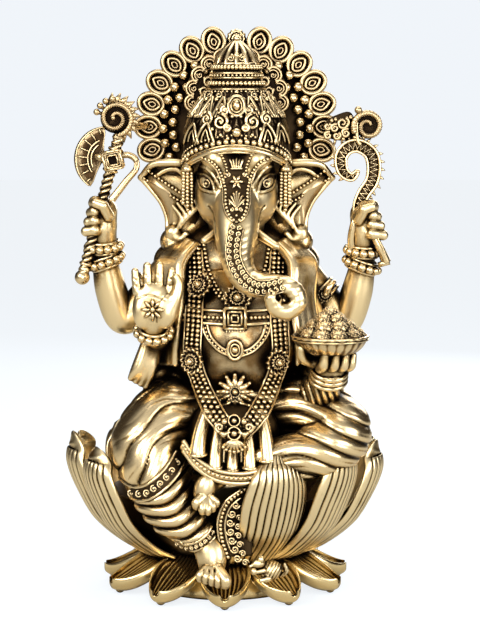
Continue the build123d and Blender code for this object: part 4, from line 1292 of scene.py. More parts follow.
def blessing_arm(bangles):
    """The front right arm: forearm towards the viewer, open palm with the fingers up and a flower on it."""
    a, b = low("front_right_arm"), high("front_right_arm")
    palm = np.array([a[0] + 12.0, a[1] + 3.5, b[2] - 24.0])
    from_palm = offsets_from(palm)
    clay = Clay(a - (8, 8, 8), b + (6, 10, 6), FINE)
    wrist = palm + (-0.5, 6.5, -13.0)
    clay.limb([(AXIS - 29, a[1] + 44, palm[2] + 12, 9.5), (palm[0] + 3, a[1] + 38, palm[2] - 16, 9.0),
               (palm[0] + 0.5, a[1] + 26, palm[2] - 18.5, 8.6), (*wrist, 6.4),
               from_palm(0, 2.5, -6, 6.0)], 50)
    clay.egg(from_palm(0, 0.5, 0), (10.8, 4.6, 12.0), 3)
    clay.egg(from_palm(6.2, -2.0, -3.0), (5.0, 4.0, 8.5), 2.5)
    clay.egg(from_palm(-6.0, -1.2, -4.0), (4.4, 3.4, 7.5), 2.5)
    for x, reach, lean, r in ((-8.4, 10.2, -1.2, 2.3), (-3.0, 13.0, -0.4, 2.5), (2.5, 13.4, 0.5, 2.5),
                              (7.8, 10.6, 1.4, 2.35)):
        finger(clay, from_palm(x, 0.6, 7.0), reach, lean, r)
    clay.limb([from_palm(8.0, -1.5, -3.5, 4.0), from_palm(11.0, -2.0, 4.0, 3.2),
               from_palm(12.6, -1.0, 10.0, 2.7), from_palm(11.6, -1.0, 14.5, 1.9)], 24, 2)
    for palm_line in (((-8.5, 4), (-2, 5.8), (6, 3.4)), ((7.0, 6.5), (2, 1.0), (1.5, -8))):
        line = clay.front(palm, *curve(palm_line, 14).T)
        clay.tube(np.c_[line, np.full(len(line), 0.35)], 0.4, hole=True)
    clay.skin("blessing_arm_skin", SKIN, "front_right_arm")
    mark = Heap()
    heart = palm + (-0.5, 0, -1.5)
    flower(mark, clay, heart, 8, (1.2, 3.6, 5.8), [0.5, 1.05, 0.35], 0.35)
    mark.balls(clay.front(heart, 0, 0, 0.5), 1.4)
    mark.finish("palm_flower", ORNAMENT)
    bead_bangle(bangles, wrist + (0, 1.0, -1.0), from_palm(0, 2, -6) - wrist, 8.6)
    bangles.finish("bangles_beaded", ORNAMENT, "bangles")


def finger(clay, root, reach, lean, r):
    """A straight finger from its root on the palm, with two creases."""
    joints = ((0, 1.04), (0.30, 1.02), (0.36, 1), (0.62, 1), (0.68, 0.95), (1.0, 0.84))
    clay.tube([(*(root + (lean * s, s, reach * s)), r * swell) for s, swell in joints], 0.5)
    for s in (0.33, 0.65):
        crease = root + (lean * s, -r * 1.05 + s, reach * s)
        clay.tube([(*(crease + (x, 0, 0)), 0.5) for x in (-r, r)], 0.3, hole=True)


def bowl_arm():
    """The front left arm under the bowl, its fingers curled up round the foot of the bowl."""
    a, b = low("front_left_arm"), high("front_left_arm")
    bowl = middle("sweets_bowl")
    clay = Clay(a - (6, 12, 10), b + (10, 8, 6), FINE)
    hand = np.array([bowl[0], bowl[1] + 4.0, low("sweets_bowl")[2] - 3.5])
    from_hand = offsets_from(hand)
    clay.limb([(AXIS + 32, 0, b[2] - 8, 9.5), (AXIS + 38, -9, b[2] - 38, 9.2),
               (AXIS + 43, -22, b[2] - 52, 9.0), from_hand(-2, 16, -7, 8.4), from_hand(-1, 6, -3, 7.4)], 60)
    clay.egg(from_hand(0, -1, 0), (11.0, 9.5, 4.6), 3)
    for k, x in enumerate((-2.0, 3.4, 8.2, 12.2)):
        root = from_hand(x - 3.0, -6.5 + 0.45 * k * k, -2.5)
        tip = from_hand(x - 1.0, -14.5 + 0.85 * k * k, 5.2 - 0.4 * k)
        joint = root * 0.4 + tip * 0.6 + (0, -1.8, -2.2)
        clay.limb([(*root, 2.8), (*joint, 2.6), (*tip, 2.1)], 14, 0.6)
    clay.limb([from_hand(-9, -2, 0, 3.2), from_hand(-14, -8, 3, 2.8), from_hand(-15, -11, 8, 2.3)], 14, 1.2)
    clay.skin("bowl_arm_skin", SKIN, "front_left_arm")
    rings = Heap()
    for k in range(3):
        place = from_hand(-0.4 * k, 1.2 + 1.4 * k, -5.0 - 2.3 * k)
        rings.hoop(place, (0.1, -0.5, 1), 8.6 + 0.3 * k, 1.25, count=48)
    rings.finish("bowl_wrist_rings", ORNAMENT)
    sleeve = Clay(hand - (24, 16, 34), hand + (20, 34, 4), COARSE)
    sleeve.limb([from_hand(0, 0, -4, 7.8), from_hand(-2, 7, -12, 8.8), from_hand(-6, 15, -20, 10.0),
                 from_hand(-12, 22, -26, 10.5)], 30)
    sleeve.emboss(hand - (30, 30, 40), hand + (30, 40, -8),
                  lambda x, y, z: 1.3 * rounded((x - hand[0] + 0.35 * (z - hand[2])) / 3.6) + 0 * y)
    sleeve.skin("bowl_sleeve", CLOTH)


def bowl_and_sweets():
    """The flared bowl with a rolled rim, and its heap of grained round sweets."""
    bowl_low, bowl_high, centre = low("sweets_bowl"), high("sweets_bowl"), middle("sweets_bowl")
    foot, tall, radius = bowl_low[2], bowl_high[2] - bowl_low[2], (bowl_high[0] - bowl_low[0]) / 2
    heap = Heap()
    turns = whole_turn(96)
    outline = [(0.42, 0.0), (0.55, 0.06), (0.72, 0.22), (0.88, 0.5), (0.98, 0.82), (1.03, 0.96), (1.03, 1.04),
               (0.98, 1.07), (0.93, 1.0), (0.86, 0.75), (0.7, 0.45), (0.4, 0.3)]
    rings = []
    for r, h in curve(outline, 60):
        wave = 1 + 0.012 * np.cos(24 * turns) * (h > 0.15)
        rings.append(level_ring(centre, foot + tall * h, radius * r * wave, turns))
    heap.tube(rings)
    heap.hoop((centre[0], centre[1], foot + tall * 0.86), (0, 0, 1), radius * 1.01, 0.5, 6, 96)
    heap.finish("sweets_bowl_spun", ORNAMENT, "sweets_bowl")

    clay = Clay(low("sweets") - (4, 4, 2), high("sweets") + (4, 4, 5), FINE)
    grains = Heap()
    for count, reach, rise in ((10, 13.0, 1.2), (7, 8.6, 5.2), (4, 4.6, 8.6), (1, 0, 11.5)):
        for sweet in level_ring(centre, bowl_high[2] + rise - 1.0, reach, whole_turn(count) + rise):
            clay.egg(sweet, (4.6, 4.6, 4.4), 0.3)
            grains.balls(sweet + 4.35 * grain_ways(110, -0.35), 0.48)
    clay.skin("sweets_heap", ORNAMENT, "sweets")
    grains.finish("sweets_grains", ORNAMENT)


def grain_ways(count, lowest):
    """Directions spread evenly over a ball by the golden angle, down to a lowest height."""
    k = np.arange(count)
    height = 1 - 2 * (k + 0.5) / count
    flat, turn = np.sqrt(1 - height ** 2), PI * (3 - math.sqrt(5)) * k
    return np.stack([flat * np.cos(turn), flat * np.sin(turn), height], 1)[height >= lowest]


# ---------------------------------------------------------------- axe and goad

def ribbon(heap, ground, line, half, rim, depth=2.2):
    """A flat strap seen from the front, with a raised rim each side and a dark zigzag channel between."""
    side = sideways(line)
    back = (0, depth, 0)
    ground.tube([np.array([p + s * h, p - s * h, p - s * h + back, p + s * h + back])
                 for p, s, h in zip(line, side, half)])
    for edge in (-1, 1):
        heap.cord(line + side * (edge * half)[:, None] + (0, -0.2, 0), rim, 10)
    run = run_of(line)
    stops = np.linspace(0, run[-1], int(run[-1] / 2.6) * 2 + 1)
    places = np.interp(stops, run, np.arange(len(line))).astype(int)
    swing = 0.62 * (-1) ** np.arange(1, len(places) + 1) * half[places]
    heap.cord(line[places] + side[places] * swing[:, None] + (0, -0.2, 0), 0.36, 5)


def sideways(line):
    """The direction to the side of a line that faces the viewer, at each of its places."""
    way = unit_rows(np.gradient(line, axis=0))
    return np.stack([-way[:, 2], 0 * way[:, 0], way[:, 0]], 1)


def ribs(heap, line, first, last, step, radius, thick, sides=6, count=16):
    """Small hoops round a cord, like the rings of a horn. radius holds its start and end values."""
    for k in range(first, last, step):
        size = np.interp(k / (len(line) - 1), (0, 1), radius)
        heap.hoop(line[k], line[k + 1] - line[k - 1], size, thick, sides, count)


def axe():
    """The axe: a rope-twisted handle, a panelled fan blade on a square eye, a strap and a curled crest."""
    foot = np.array([low("axe_shaft")[0] + 4.0, middle("axe_shaft")[1], low("axe_shaft")[2] + 4.0])
    top = np.array([high("axe_shaft")[0] - 2.5, foot[1], high("axe_shaft")[2]])
    shaft = top - foot
    heap = Heap()
    heap.cord(foot + np.linspace(0, 1, 170)[:, None] * shaft, 2.75, 24, twist=0.62)
    heap.balls([foot, foot + shaft * 0.055], [4.0, 3.0])
    heap.hoop(foot + shaft * 0.095, shaft, 2.6, 0.9, 8, 32)
    heap.finish("axe_shaft_rope", ORNAMENT, "axe_shaft")
    eye_place = foot + shaft * 0.835
    axe_head(eye_place, shaft)
    axe_strap(eye_place)
    axe_crest(eye_place)


def axe_head(centre, shaft):
    """The square eye on the shaft and the fan blade with its panels."""
    blade, chased = Heap(), Heap()
    spin = turned(0, -12, 0)

    def on_eye(*p):
        return centre + spin @ np.array(p, float)

    for y in (-4.6, 4.6):
        for half, thick in ((4.6, 0.75), (2.5, 0.5)):
            chased.square(lambda x, z: on_eye(x, y, z), half, thick)
    corners = ((-1, -1), (1, -1), (1, 1), (-1, 1))
    sections = ((-3.4, 2.4), (-4.4, 3.6), (-4.2, 4.3), (4.2, 4.3), (4.4, 3.6), (3.8, 2.4))
    chased.tube([np.array([on_eye(a * w, y, b * w) for a, b in corners]) for y, w in sections])
    for end in (-1, 1):
        chased.hoop(centre + unit(shaft) * 5.6 * end, shaft, 3.2, 1.0, 8, 32)

    pivot, heading, spread = centre + (-2.4, 0, 0.3), math.radians(166), math.radians(70)
    rows = []
    for a in np.linspace(heading - spread, heading + spread, 60):
        open_way = abs(a - heading) / spread
        near, far = 3.0 + 11.0 * open_way ** 5, 18.0 - 1.0 * open_way ** 4
        r = np.linspace(near, far, 10)
        face = upright(pivot, 1, a) - pivot
        thick = np.interp(r, (near, far - 1.5, far), (1.6, 1.2, 0.5))[:, None] * (0, 1, 0)
        middle_line = pivot + r[:, None] * face
        rows.append(np.vstack([middle_line - thick, (middle_line + thick)[::-1]]))
    blade.tube(rows)
    for a in np.radians(np.linspace(106, 226, 8)):
        near = 10.8 + 4.6 * (abs(a - heading) / spread) ** 3
        for y in (-1.5, 1.5):
            rib = [upright(pivot, near, a) + (0, y, 0), upright(pivot, 17.0, a) + (0, y * 0.75, 0)]
            chased.cord(rib, 0.42, 6)
    for radius, reach, y in ((9.0, 42, 1.55), (10.8, 52, 1.55), (17.0, 67, 1.55 * 0.7)):
        bow = heading + np.radians(np.linspace(-reach, reach, 30))
        for face in (-y, y):
            chased.cord(upright(pivot, radius, bow) + (0, face, 0), 0.45, 6)
    blade.cord([pivot + (-7.0, 0, 1.6), centre + (-3.0, 0, 0.6)], [2.3, 3.2], 14)
    blade.finish("axe_blade", AGED, "axe_head")
    chased.finish("axe_eye", ORNAMENT)


def axe_strap(eye_place):
    """The ringed strap that loops from the axe's eye down to the fist."""
    strap = Heap()
    tail = flat_line(eye_place, ((4.0, 2.2), (8.0, 2.6), (11.8, 0.2), (12.0, -4.6), (7.2, -10.6),
                                 (2.2, -17.0), (-0.6, -20.5)))
    tail[:, 1] -= 4.0 * np.clip((eye_place[2] - tail[:, 2]) / 20, 0, 1)
    strap.cord(tail, np.interp(np.arange(60), (0, 20, 59), (1.5, 1.4, 2.1)), 12, normal=(0, 1, 0), flat=0.7)
    for start, end in zip(tail[1:22], tail[2:23]):
        strap.hoop(start, end - start, 1.35, 0.42, 6, 20)
    for reach in (-0.9, 0.9):
        strap.cord(tail[22:] + (reach, -1.2, reach * 0.6), 0.4, 6)
    strap.finish("axe_strap", ORNAMENT, "axe_tassel")


def axe_crest(eye_place):
    """The ringed curl above the axe, with flames round its right side and balls round its left."""
    crest, back = Heap(), Heap()
    heart = middle("axe_scroll") * (1, 1, 0) + (-3.6, 0.5, high("axe_scroll")[2] - 10.4)
    t = np.linspace(0, 1, 110)
    curl = upright(heart, 8.0 * (1 - t) ** 0.8 + 1.1, -PI / 2 + 2 * PI * 1.72 * t) + (0, -0.6, 0)
    stem = flat_line(eye_place, ((1.2, 6.0), (1.8, 10.0), (2.6, 13.6)), 12, -0.4)
    thick = np.concatenate([np.full(11, 1.9), np.interp(t, (0, 0.5, 1), (1.45, 1.2, 0.9))])
    crest.cord(np.vstack([stem[:-1], curl]), thick, 12)
    ribs(crest, curl, 3, 108, 2, (1.25, 0.75), 0.45)
    crest.balls([curl[-1] + (0, -0.6, 0)], 1.3)
    back.disc(heart + (0, 0.6, 0), FORWARD, 7.8, rings=4, spokes=60, depth=1.6)
    for a in np.radians(98 - 18.5 * np.arange(10)):
        out, across = upright(0, 1, a), upright(0, 1, a + PI / 2)
        flame = [heart + out * r + across * aside for r, aside in ((8.0, 1.2), (10.6, 0.5), (13.4, -0.4))]
        crest.cord(flame, [2.0, 1.4, 0.25], normal=(0, 1, 0), flat=0.6)
        groove = [heart + out * 8.4 - across + (0, -0.8, 0), heart + out * 11.0 - across * 0.6 + (0, -0.4, 0)]
        crest.cord(groove, [0.8, 0.4], 6)
    for a in np.radians(98 + 21 * np.arange(4)):
        crest.balls([upright(heart, 10.2, a) + (0, -0.4, 0)], 1.75)
        crest.cord([upright(heart, 7.6, a) + (0, 0.2, 0), upright(heart, 10.0, a)], 1.0)
    for k in (4, 8):
        crest.hoop(stem[k], stem[k + 1] - stem[k], 2.0, 0.7, 8, 24)
    crest.finish("axe_crest", AGED, "axe_scroll")
    back.finish("axe_crest_ground", RECESS)


def goad():
    """The goad: a curling channelled ribbon with spikes, a ram's-horn crest and two loose ends."""
    hook_low, hook_high = low("goad_hook"), high("goad_hook")
    heart = np.array([hook_low[0] + 12.0, middle("goad_hook")[1], hook_high[2] - 15.0])
    heap, ground = Heap(), Heap()
    line = flat_line(heart, ((1.0, -1.6), (-2.4, -4.4), (-6.8, -1.2), (-7.8, 5.6), (-4.2, 10.8),
                             (1.6, 11.8), (7.4, 8.2), (9.4, 1.4), (8.4, -6.6), (4.2, -13.2),
                             (1.6, -20.0), (1.6, -24.0)), 150)
    half = np.interp(np.arange(150), (0, 10, 35, 90, 130, 149), (0.8, 1.6, 2.8, 3.2, 2.8, 2.0))
    ribbon(heap, ground, line, half, 0.8)
    way, outer = unit_rows(np.gradient(line, axis=0)), sideways(line)
    for k in (*range(22, 42, 6), *range(68, 132, 6)):
        root = line[k] + outer[k] * (half[k] + 0.4) + (0, 1.0, 0)
        spike = [root - way[k] * 0.3, root + outer[k] * 1.1, root + outer[k] * 2.5 + way[k] * 0.5]
        heap.cord(spike, [1.0, 0.8, 0.15], 7)
    heap.balls([line[0] + (0, 0.4, 0)], 1.3)
    ground.finish("goad_channel", RECESS)
    heap.finish("goad_ribbon", ORNAMENT, "goad_hook")
    goad_crest()
    goad_ends(line[-1])


def goad_crest():
    """The ram's horn above the goad, with a cluster of curls beside it on a dark ground."""
    crest, back = Heap(), Heap()
    horn = middle("goad_crest") * (0, 1, 1) + (high("goad_crest")[0] - 8.0, 0.2, -0.6)
    t = np.linspace(0, 1, 90)
    curl = upright(horn, 6.9 * (1 - t) ** 0.7 + 1.0, PI * 1.15 - 2 * PI * 1.5 * t) + (0, -0.5, 0)
    crest.cord(curl, np.interp(t, (0, 1), (1.7, 0.8)), 12)
    ribs(crest, curl, 2, 88, 2, (1.55, 0.7), 0.38)
    crest.cord(flat_line(horn, ((-6.2, 3.0), (-6.2, -2.4), (-5.6, -7.2), (-4.0, -9.6)), 20), 1.4)
    crest.balls([horn + (-5.2, -0.4, 8.4), horn + (-7.0, -0.8, -5.8)], [2.0, 1.2])
    for x, z, radius, hand in ((-13.4, 1.6, 3.4, -1), (-11.6, -3.6, 2.4, 1), (-17.4, -1.0, 2.2, 1),
                               (-16.4, -5.0, 2.0, -1), (-21.2, -0.2, 1.9, -1), (-21.0, -4.8, 2.0, 1)):
        crest.curl(horn + (x, -0.6, z), FORWARD, radius, 1.5, PI / 3, hand, (1.0, 0.55), 24)
    for x, z in ((-17.0, 3.4), (-9.2, 4.6), (-19.0, 2.8), (-13.0, -6.6)):
        crest.balls([horn + (x, -0.4, z)], 1.15)
    for k in range(5):
        fringe = [horn + (-17 + 3.6 * k, 0.4, -6.6 + 0.5 * k),
                  horn + (-17.6 + 3.9 * k, 0.2, -9.6 + 0.5 * k)]
        crest.cord(fringe, [0.9, 0.6], 6)
    outline = ((-22, -6), (-22, 2), (-16, 6), (-9, 7), (-6, -2), (-8, -7), (-15, -7.5), (-22, -6))
    back.tube([flat_line(horn, outline, 70, y)[:-1] for y in (0.6, 2.6)])
    back.disc(horn + (0, 0.6, 0), FORWARD, 6.6, rings=4, spokes=50, depth=1.8)
    back.finish("goad_crest_ground", RECESS)
    crest.finish("goad_crest_horn", AGED, "goad_crest")


def goad_ends(ribbon_end):
    """The two loose ends of the goad's ribbon: one in the fist, and one that falls outside it."""
    grip_low, grip_high = low("goad_grip"), high("goad_grip")
    near = ribbon_end + (0, -0.5, 0)
    heap = Heap()
    held = [near + p for p in ((0, 0, 3), (-2.6, -0.5, -5), (-3.8, 0.5, -13), (-2.8, 2.0, -20))]
    heap.cord(curve(held, 30), np.linspace(1.7, 2.2, 30), 10, normal=(0, 1, 0), flat=0.7)
    tip = (grip_high[0] - 1.0, grip_low[1] + 2, grip_low[2] + 1.5)
    fall = curve([*(near + p for p in ((3, -1.0, 0), (8.0, -2.2, -11), (11.5, -2.0, -18))), tip], 40)
    heap.cord(fall, np.linspace(1.5, 2.6, 40), 12, normal=(0, 1, 0), flat=0.75)
    heap.cord(fall + (1.0, -1.3, 0.6), 0.5, 6)
    heap.cord([fall[-1] + (1.6, 0, 0.4), fall[-1] + (-4.2, -0.4, -1.4)], [1.8, 1.5], 10)
    heap.finish("goad_loose_ends", ORNAMENT, "goad_grip")


# ---------------------------------------------------------------- legs and lap

# The chased band over the shin and the hem at the ankle, as (x, z) offsets from the lap.
BAND = curve([(-27.5, 9.0), (-33, 1.5), (-39, -4.5), (-46.5, -9.3), (-55, -10.3), (-63.5, -6.5),
              (-68, -2)], 60)
HEM = curve([(-9.5, -25.0), (-13.5, -31.5), (-19.5, -36.0), (-26.5, -37.8), (-30, -36.0)], 30)


def leg_folds(x, y, z):
    """Folds of the cloth over the hanging leg: arcs over the thigh, a plain band, rings down the shin."""
    x, z = x - LAP[0], z - LAP[2]
    band = np.interp(-x, -BAND[:, 0], BAND[:, 1])
    hem = np.interp(-x, -HEM[:, 0], HEM[:, 1])
    sweep = np.hypot(x + 17, z + 9) + 1.2 * np.sin(x * 0.21) + 0.7 * np.sin(z * 0.33)
    thigh = 1.9 * rounded(sweep / 11.0) + 0.35 * rounded((sweep + 0.25 * x) / 4.4 + 0.3)
    along = 0.51 * (x + 45) - 0.86 * (z - 11)
    across = 0.86 * (x + 45) + 0.51 * (z - 11)
    rings = 2.6 * rounded((along + 0.016 * across ** 2 + 0.5 * np.sin(across * 0.3)) / 6.7, 0.6)
    above = np.clip((z - band - 4.4) / 1.5, 0, 1)
    below = np.clip((band - 4.4 - z) / 1.5, 0, 1) * np.clip((z - hem - 2.6) / 1.2, 0, 1)
    return thigh * above + rings * below + 1.4 * (1 - above - below) + 0 * y


def lap_folds(x, y, z):
    """Folds over the crossed leg: arcs from the waist round the knee."""
    x, z = x - LAP[0], z - LAP[2]
    sweep = z + 0.010 * (x - 26) ** 2 + 1.2 * np.sin(x * 0.15)
    return 2.0 * rounded(sweep / 9.4) + 0.35 * rounded((sweep - 0.12 * x) / 4.2) + 0 * y


def scrollwork(heap, clay, line, size):
    """A run of small curls along a line on the front of the leg, turned up and down in turn."""
    for k, (x, z) in enumerate(evenly(line, size * 2.1)):
        place = clay.front(LAP, x, z, 0.5)
        if len(place):
            hand = 1 if k % 2 else -1
            heap.curl(place[0], (0, -1, 0.1), size, 1.3, hand * PI / 2, hand, 0.45, 14, 6)
            heap.balls(place, 0.5)


def right_leg():
    """The hanging leg in its folded cloth, with a chased band over the shin and a hem at the ankle."""
    clay = Clay(low("right_leg") - (6, 8, 6), high("right_leg") + (8, 6, 6), COARSE)
    clay.limb([from_lap(*p) for p in (
        (-16, 48, 27, 17.0), (-33, 36, 24, 18.5), (-44.5, 25, 12, 18.7), (-41, 17, -3, 16.0),
        (-33.5, 12, -17.5, 13.0), (-25, 8, -27, 9.8), (-19, 6.5, -32.5, 7.6))], 70)
    clay.emboss(low("right_leg") - (20, 40, 20), high("right_leg") + (30, 0, 20), leg_folds)
    clay.skin("right_leg_cloth", CLOTH, "right_leg")
    heap, ground = Heap(), Heap()
    for line, half in ((BAND, 3.6), (HEM, 2.2)):
        edges = [shifted(line, reach) for reach in (-half, half)]
        for edge in edges:
            heap.cord(clay.front(LAP, edge[:, 0], edge[:, 1], 0.1), 0.85)
        scrollwork(heap, clay, line, half * 0.55)
        ground.sheet(ground_rows(clay, LAP, zip(*edges), 6, 0.25), 1.0)
    ground.finish("leg_band_ground", RECESS)
    heap.finish("leg_band", ORNAMENT)


def left_leg():
    """The crossed leg in its folded cloth."""
    clay = Clay(low("left_leg") - (6, 8, 8), high("left_leg") + (8, 8, 6), COARSE)
    clay.limb([from_lap(*p) for p in (
        (20, 46, 26, 18.0), (38, 36, 26, 18.0), (51, 28, 18.0, 17.0), (46, 18, 11.5, 13.5), (32, 12, 8, 11.0),
        (16, 9, 6, 9.5))], 60)
    clay.emboss(low("left_leg") - (20, 40, 20), high("left_leg") + (30, 0, 20), lap_folds)
    clay.skin("left_leg_cloth", CLOTH, "left_leg")


def toes(clay, tips, radii, root, bend):
    """A row of toes, each from the front of the foot to its tip, bent on the way by an offset."""
    for tip, r in zip(tips, radii):
        start = tip * 0.35 + root * 0.65
        clay.limb([(*start, r * 0.95), (*(tip + bend), r), (*tip, r * 0.92)], 12, 0.25)


def feet():
    """The hanging foot with its toes down on the front petal, and the folded foot under the apron's hem."""
    clay = Clay(low("right_foot") - (6, 8, 6), high("right_foot") + (6, 8, 12), FINE)
    at = offsets_from(middle("right_foot") + (0, -1.0, -2.5))
    clay.egg(at(-0.5, 1.5, 2.0), (7.6, 6.5, 11.0), turn=turned(-14, 0, 0))
    clay.tube([at(-3, 5, 6, 7.0), at(-6, 8, 15, 7.5)], 3)
    tips = [at(-6.6 + 3.1 * k, -6.0 - 0.5 * k, -7.4 - 0.8 * k) for k in range(4)]
    toes(clay, [*tips, at(6.2, -7.6, -9.6)], (1.9, 2.0, 2.1, 2.2, 3.0), at(0, -2, 2), (0, -1.4, 2.6))
    for x in -5.2 + 3.1 * np.arange(4):
        clay.tube([at(x * 0.7, -6.0, 0, 0.2), at(x, -7.8, -4.0, 0.4)], 0.4, hole=True)
    clay.skin("right_foot_skin", SKIN, "right_foot")

    clay = Clay(low("left_foot") - (6, 6, 6), high("left_foot") + (8, 8, 10), FINE)
    at = offsets_from(middle("left_foot"))
    clay.egg(at(-1.0, 2.5, 3.5), (5.6, 5.0, 8.5), turn=turned(0, 18, 0))
    clay.tube([at(0, 6, 4, 5.0), at(6, 8, 8, 5.5)], 2)
    tips = [at(-5.0, -2.0, -4.5), at(-2.2, -3.2, -7.2), at(0.6, -3.2, -7.6), at(3.0, -2.6, -6.2),
            at(5.0, -2.0, -4.0)]
    toes(clay, tips, (2.5, 2.0, 1.8, 1.7, 1.5), at(0, 0.5, 3), (0, -0.8, 2.0))
    clay.skin("left_foot_skin", SKIN, "left_foot")


def apron():
    """Upright pleats over the lap above a hem with a row of beads between two rims."""
    clay = Clay(from_lap(-32, -6, -10), from_lap(24, 40, 40), COARSE)
    clay.egg(from_lap(-2, 24, 18), (24, 20, 19))
    clay.skin("lap_ground", RECESS)
    heap = Heap()
    for x, top, foot, r in ((-19.6, 32, 10.0, 4.6), (-11.2, 27, 3.4, 4.2), (-2.2, 20, 2.0, 3.8),
                            (6.8, 27, 3.2, 4.2), (15.6, 32, 7.0, 4.6)):
        pleat = curve([from_lap(x * 0.75, 8.5, top), from_lap(x * 0.93, 4.4, (top + foot) / 2),
                       from_lap(x, 1.4, foot + 3), from_lap(x, 1.0, foot)], 24)
        heap.cord(pleat, np.linspace(0.7, 1.0, 24) * r, 16)
        heap.hoop(from_lap(x, 1.2, foot + 1.0), (0, -0.15, 1), r * 0.95, 0.8, count=28)
    for x in (-6.8, 2.6):
        gap = curve([from_lap(x * 0.7, 9.5, 28), from_lap(x * 0.9, 6, 14), from_lap(x, 4, 5)], 16)
        heap.cord(gap, 1.6, 12)
    hem = curve([from_lap(*p) for p in (
        (-27.0, 4.0, 14.5), (-20.5, 0.5, 6.5), (-10.5, -2.0, 0.5), (2, -3.0, -1.2), (12, -2.5, 0.5),
        (20, -0.5, 4))], 60)
    for back, up, radius, sides in ((0, 2.6, 1.15, 10), (0.3, -2.4, 1.35, 10), (1.4, 0.1, 2.3, 12)):
        heap.cord(hem + (0, back, up), radius, sides)
    heap.balls(evenly(hem + (0, -0.7, 0.2), 2.35), 1.12)
    heap.finish("apron_pleats", CLOTH, "apron")


def hem_panel():
    """The cloth end that hangs below the lap: bead edge and scrollwork on a dark ground."""
    a, b = low("hem_panel"), high("hem_panel")
    front = a[1]
    edge = curve([(b[0] - 1, b[2] + 2), (a[0] + 2.5, b[2] - 5), (a[0] - 1.0, b[2] - 14),
                  (a[0] - 0.6, a[2] + 8), (a[0] + 2.5, a[2] - 2)], 40)
    ground, heap = Heap(), Heap()
    rows = []
    for x, z in edge:
        across = np.linspace(x, b[0] + 3, 8)
        rows.append(np.stack([across, front + 0.06 * (across - x) ** 1.5, z + 0 * across], 1))
    ground.sheet(rows, 3.0)
    ground.finish("hem_panel_ground", RECESS)
    heap.balls([(x + 0.3, front - 0.2, z) for x, z in evenly(edge, 2.1)], 1.05)
    heap.cord([(x - 1.2, front + 0.6, z) for x, z in edge], 0.8)
    heap.cord([(x, front - 0.1, z) for x, z in shifted(edge, 2.6)[3:-3]], 0.5, 6)
    for k in range(7):
        hand = 1 if k % 2 else -1
        z = b[2] - 6 - 4.6 * k
        x = np.interp(-z, -edge[:, 1], edge[:, 0]) + 5.2
        heap.curl((x, front - 0.3, z), FORWARD, 2.1, 1.5, PI * k, hand, 0.5, 18, 6)
        heap.curl((x + 4.0, front + 0.4, z - 2.3), FORWARD, 1.8, 1.4, PI * k, -hand, 0.45, 18, 6)
    heap.finish("hem_panel_chased", ORNAMENT, "hem_panel")


# ---------------------------------------------------------------- lotus

def swung(section, turn):
    """A section of (across, out, up) places swung round the lotus's axis. With no turn it points forward."""
    across, out, up = section.T
    c, s = math.cos(turn), math.sin(turn)
    return np.stack([out * s + across * c, across * s - out * c, up], 1)


def leaf(heap, out, up, turn, width, bulge):
    """A closed petal along a spine of (out, up) places, with fine grooves on its outer face."""
    thick, grooves = 3.4, np.linspace(-0.80, 0.80, 9)
    way = unit_rows(np.gradient(np.stack([out, up], 1), axis=0))
    u = np.linspace(-1, 1, 61)
    rings = []
    for k, share in enumerate(np.linspace(0, 1, len(out))):
        cut = sum(ridge(u - groove, 0.024) * np.clip((0.86 - 0.16 * groove ** 2 - share) / 0.10, 0, 1)
                  for groove in grooves)
        outer = bulge[k] * (1 - u ** 2) ** 0.8 - 0.8 * cut
        wall = thick * (1 - 0.6 * share ** 6) * (0.35 + 0.65 * np.sqrt(1 - u ** 2))
        inner = bulge[k] * 0.8 * (1 - u ** 2) ** 0.75 - wall
        faces = [np.stack([width[k] * u, out[k] + way[k, 1] * rise, up[k] - way[k, 0] * rise], 1)
                 for rise in (outer, inner)]
        rings.append(swung(np.vstack([faces[0], faces[1][::-1]]), turn))
    heap.tube(rings)


def lotus_cup():
    """The upper ring of tall petals, grooved outside, their round tops folding in."""
    foot, tip = low("lotus_cup")[2] + 4.0, high("lotus_cup")[2]
    wide, deep = high("lotus_cup")[0] + 5.0, -low("lotus_cup")[1] + 3.0
    heap = Heap()
    for k, heading in enumerate((*(20.0 + 29.5 * np.arange(9)), 279.0, 303.0)):
        angle = math.radians(heading)
        x, ahead = wide * math.sin(angle), deep * math.cos(angle)
        far, turn = math.hypot(x, ahead), math.atan2(x, ahead)
        flare = abs(math.sin(turn))
        tall = tip - foot + (1.5 if k % 2 else -2.5) * flare
        side = max(0.0, flare - 0.45) / 0.55
        profile = curve([(36, 0), (0.56 * far + 6, 0.12 * tall), (0.74 * far + 6, 0.34 * tall),
                         (0.86 * far + 5, 0.60 * tall), (0.92 * far + 4, 0.79 * tall),
                         ((0.95 + 0.01 * side) * far, 0.90 * tall),
                         ((0.92 + 0.07 * side) * far, 0.975 * tall),
                         ((0.87 + 0.16 * side) * far, (1.0 + 0.03 * side) * tall)], 80)
        rise = profile[:, 1] / profile[:, 1].max()
        taper = np.sqrt(np.clip(1 - np.clip((rise - 0.5) / 0.5, 0, 1) ** 2.3, 0.002, 1))
        width = 18.6 * np.interp(rise, (0, 0.3, 0.5), (0.78, 0.95, 1.0)) * taper * (1 - 0.08 * flare)
        bulge = np.interp(np.linspace(0, 1, 80), (0, 0.3, 0.65, 0.88, 1.0), (3.0, 6.5, 8.0, 5.5, 0.5))
        leaf(heap, profile[:, 0], foot + profile[:, 1], turn, width, bulge)
    heap.finish("lotus_cup_petals", LOTUS, "lotus_cup")
    collar = Heap()
    wall = curve([(34, 0), (50, 11), (60, 30), (59, 31), (48, 13), (31, 2)], 40)
    collar.tube([level_ring((0, 0), foot + z, r, whole_turn(96), 0.86 * r) for r, z in wall], closed=True)
    collar.finish("lotus_cup_ground", RECESS)


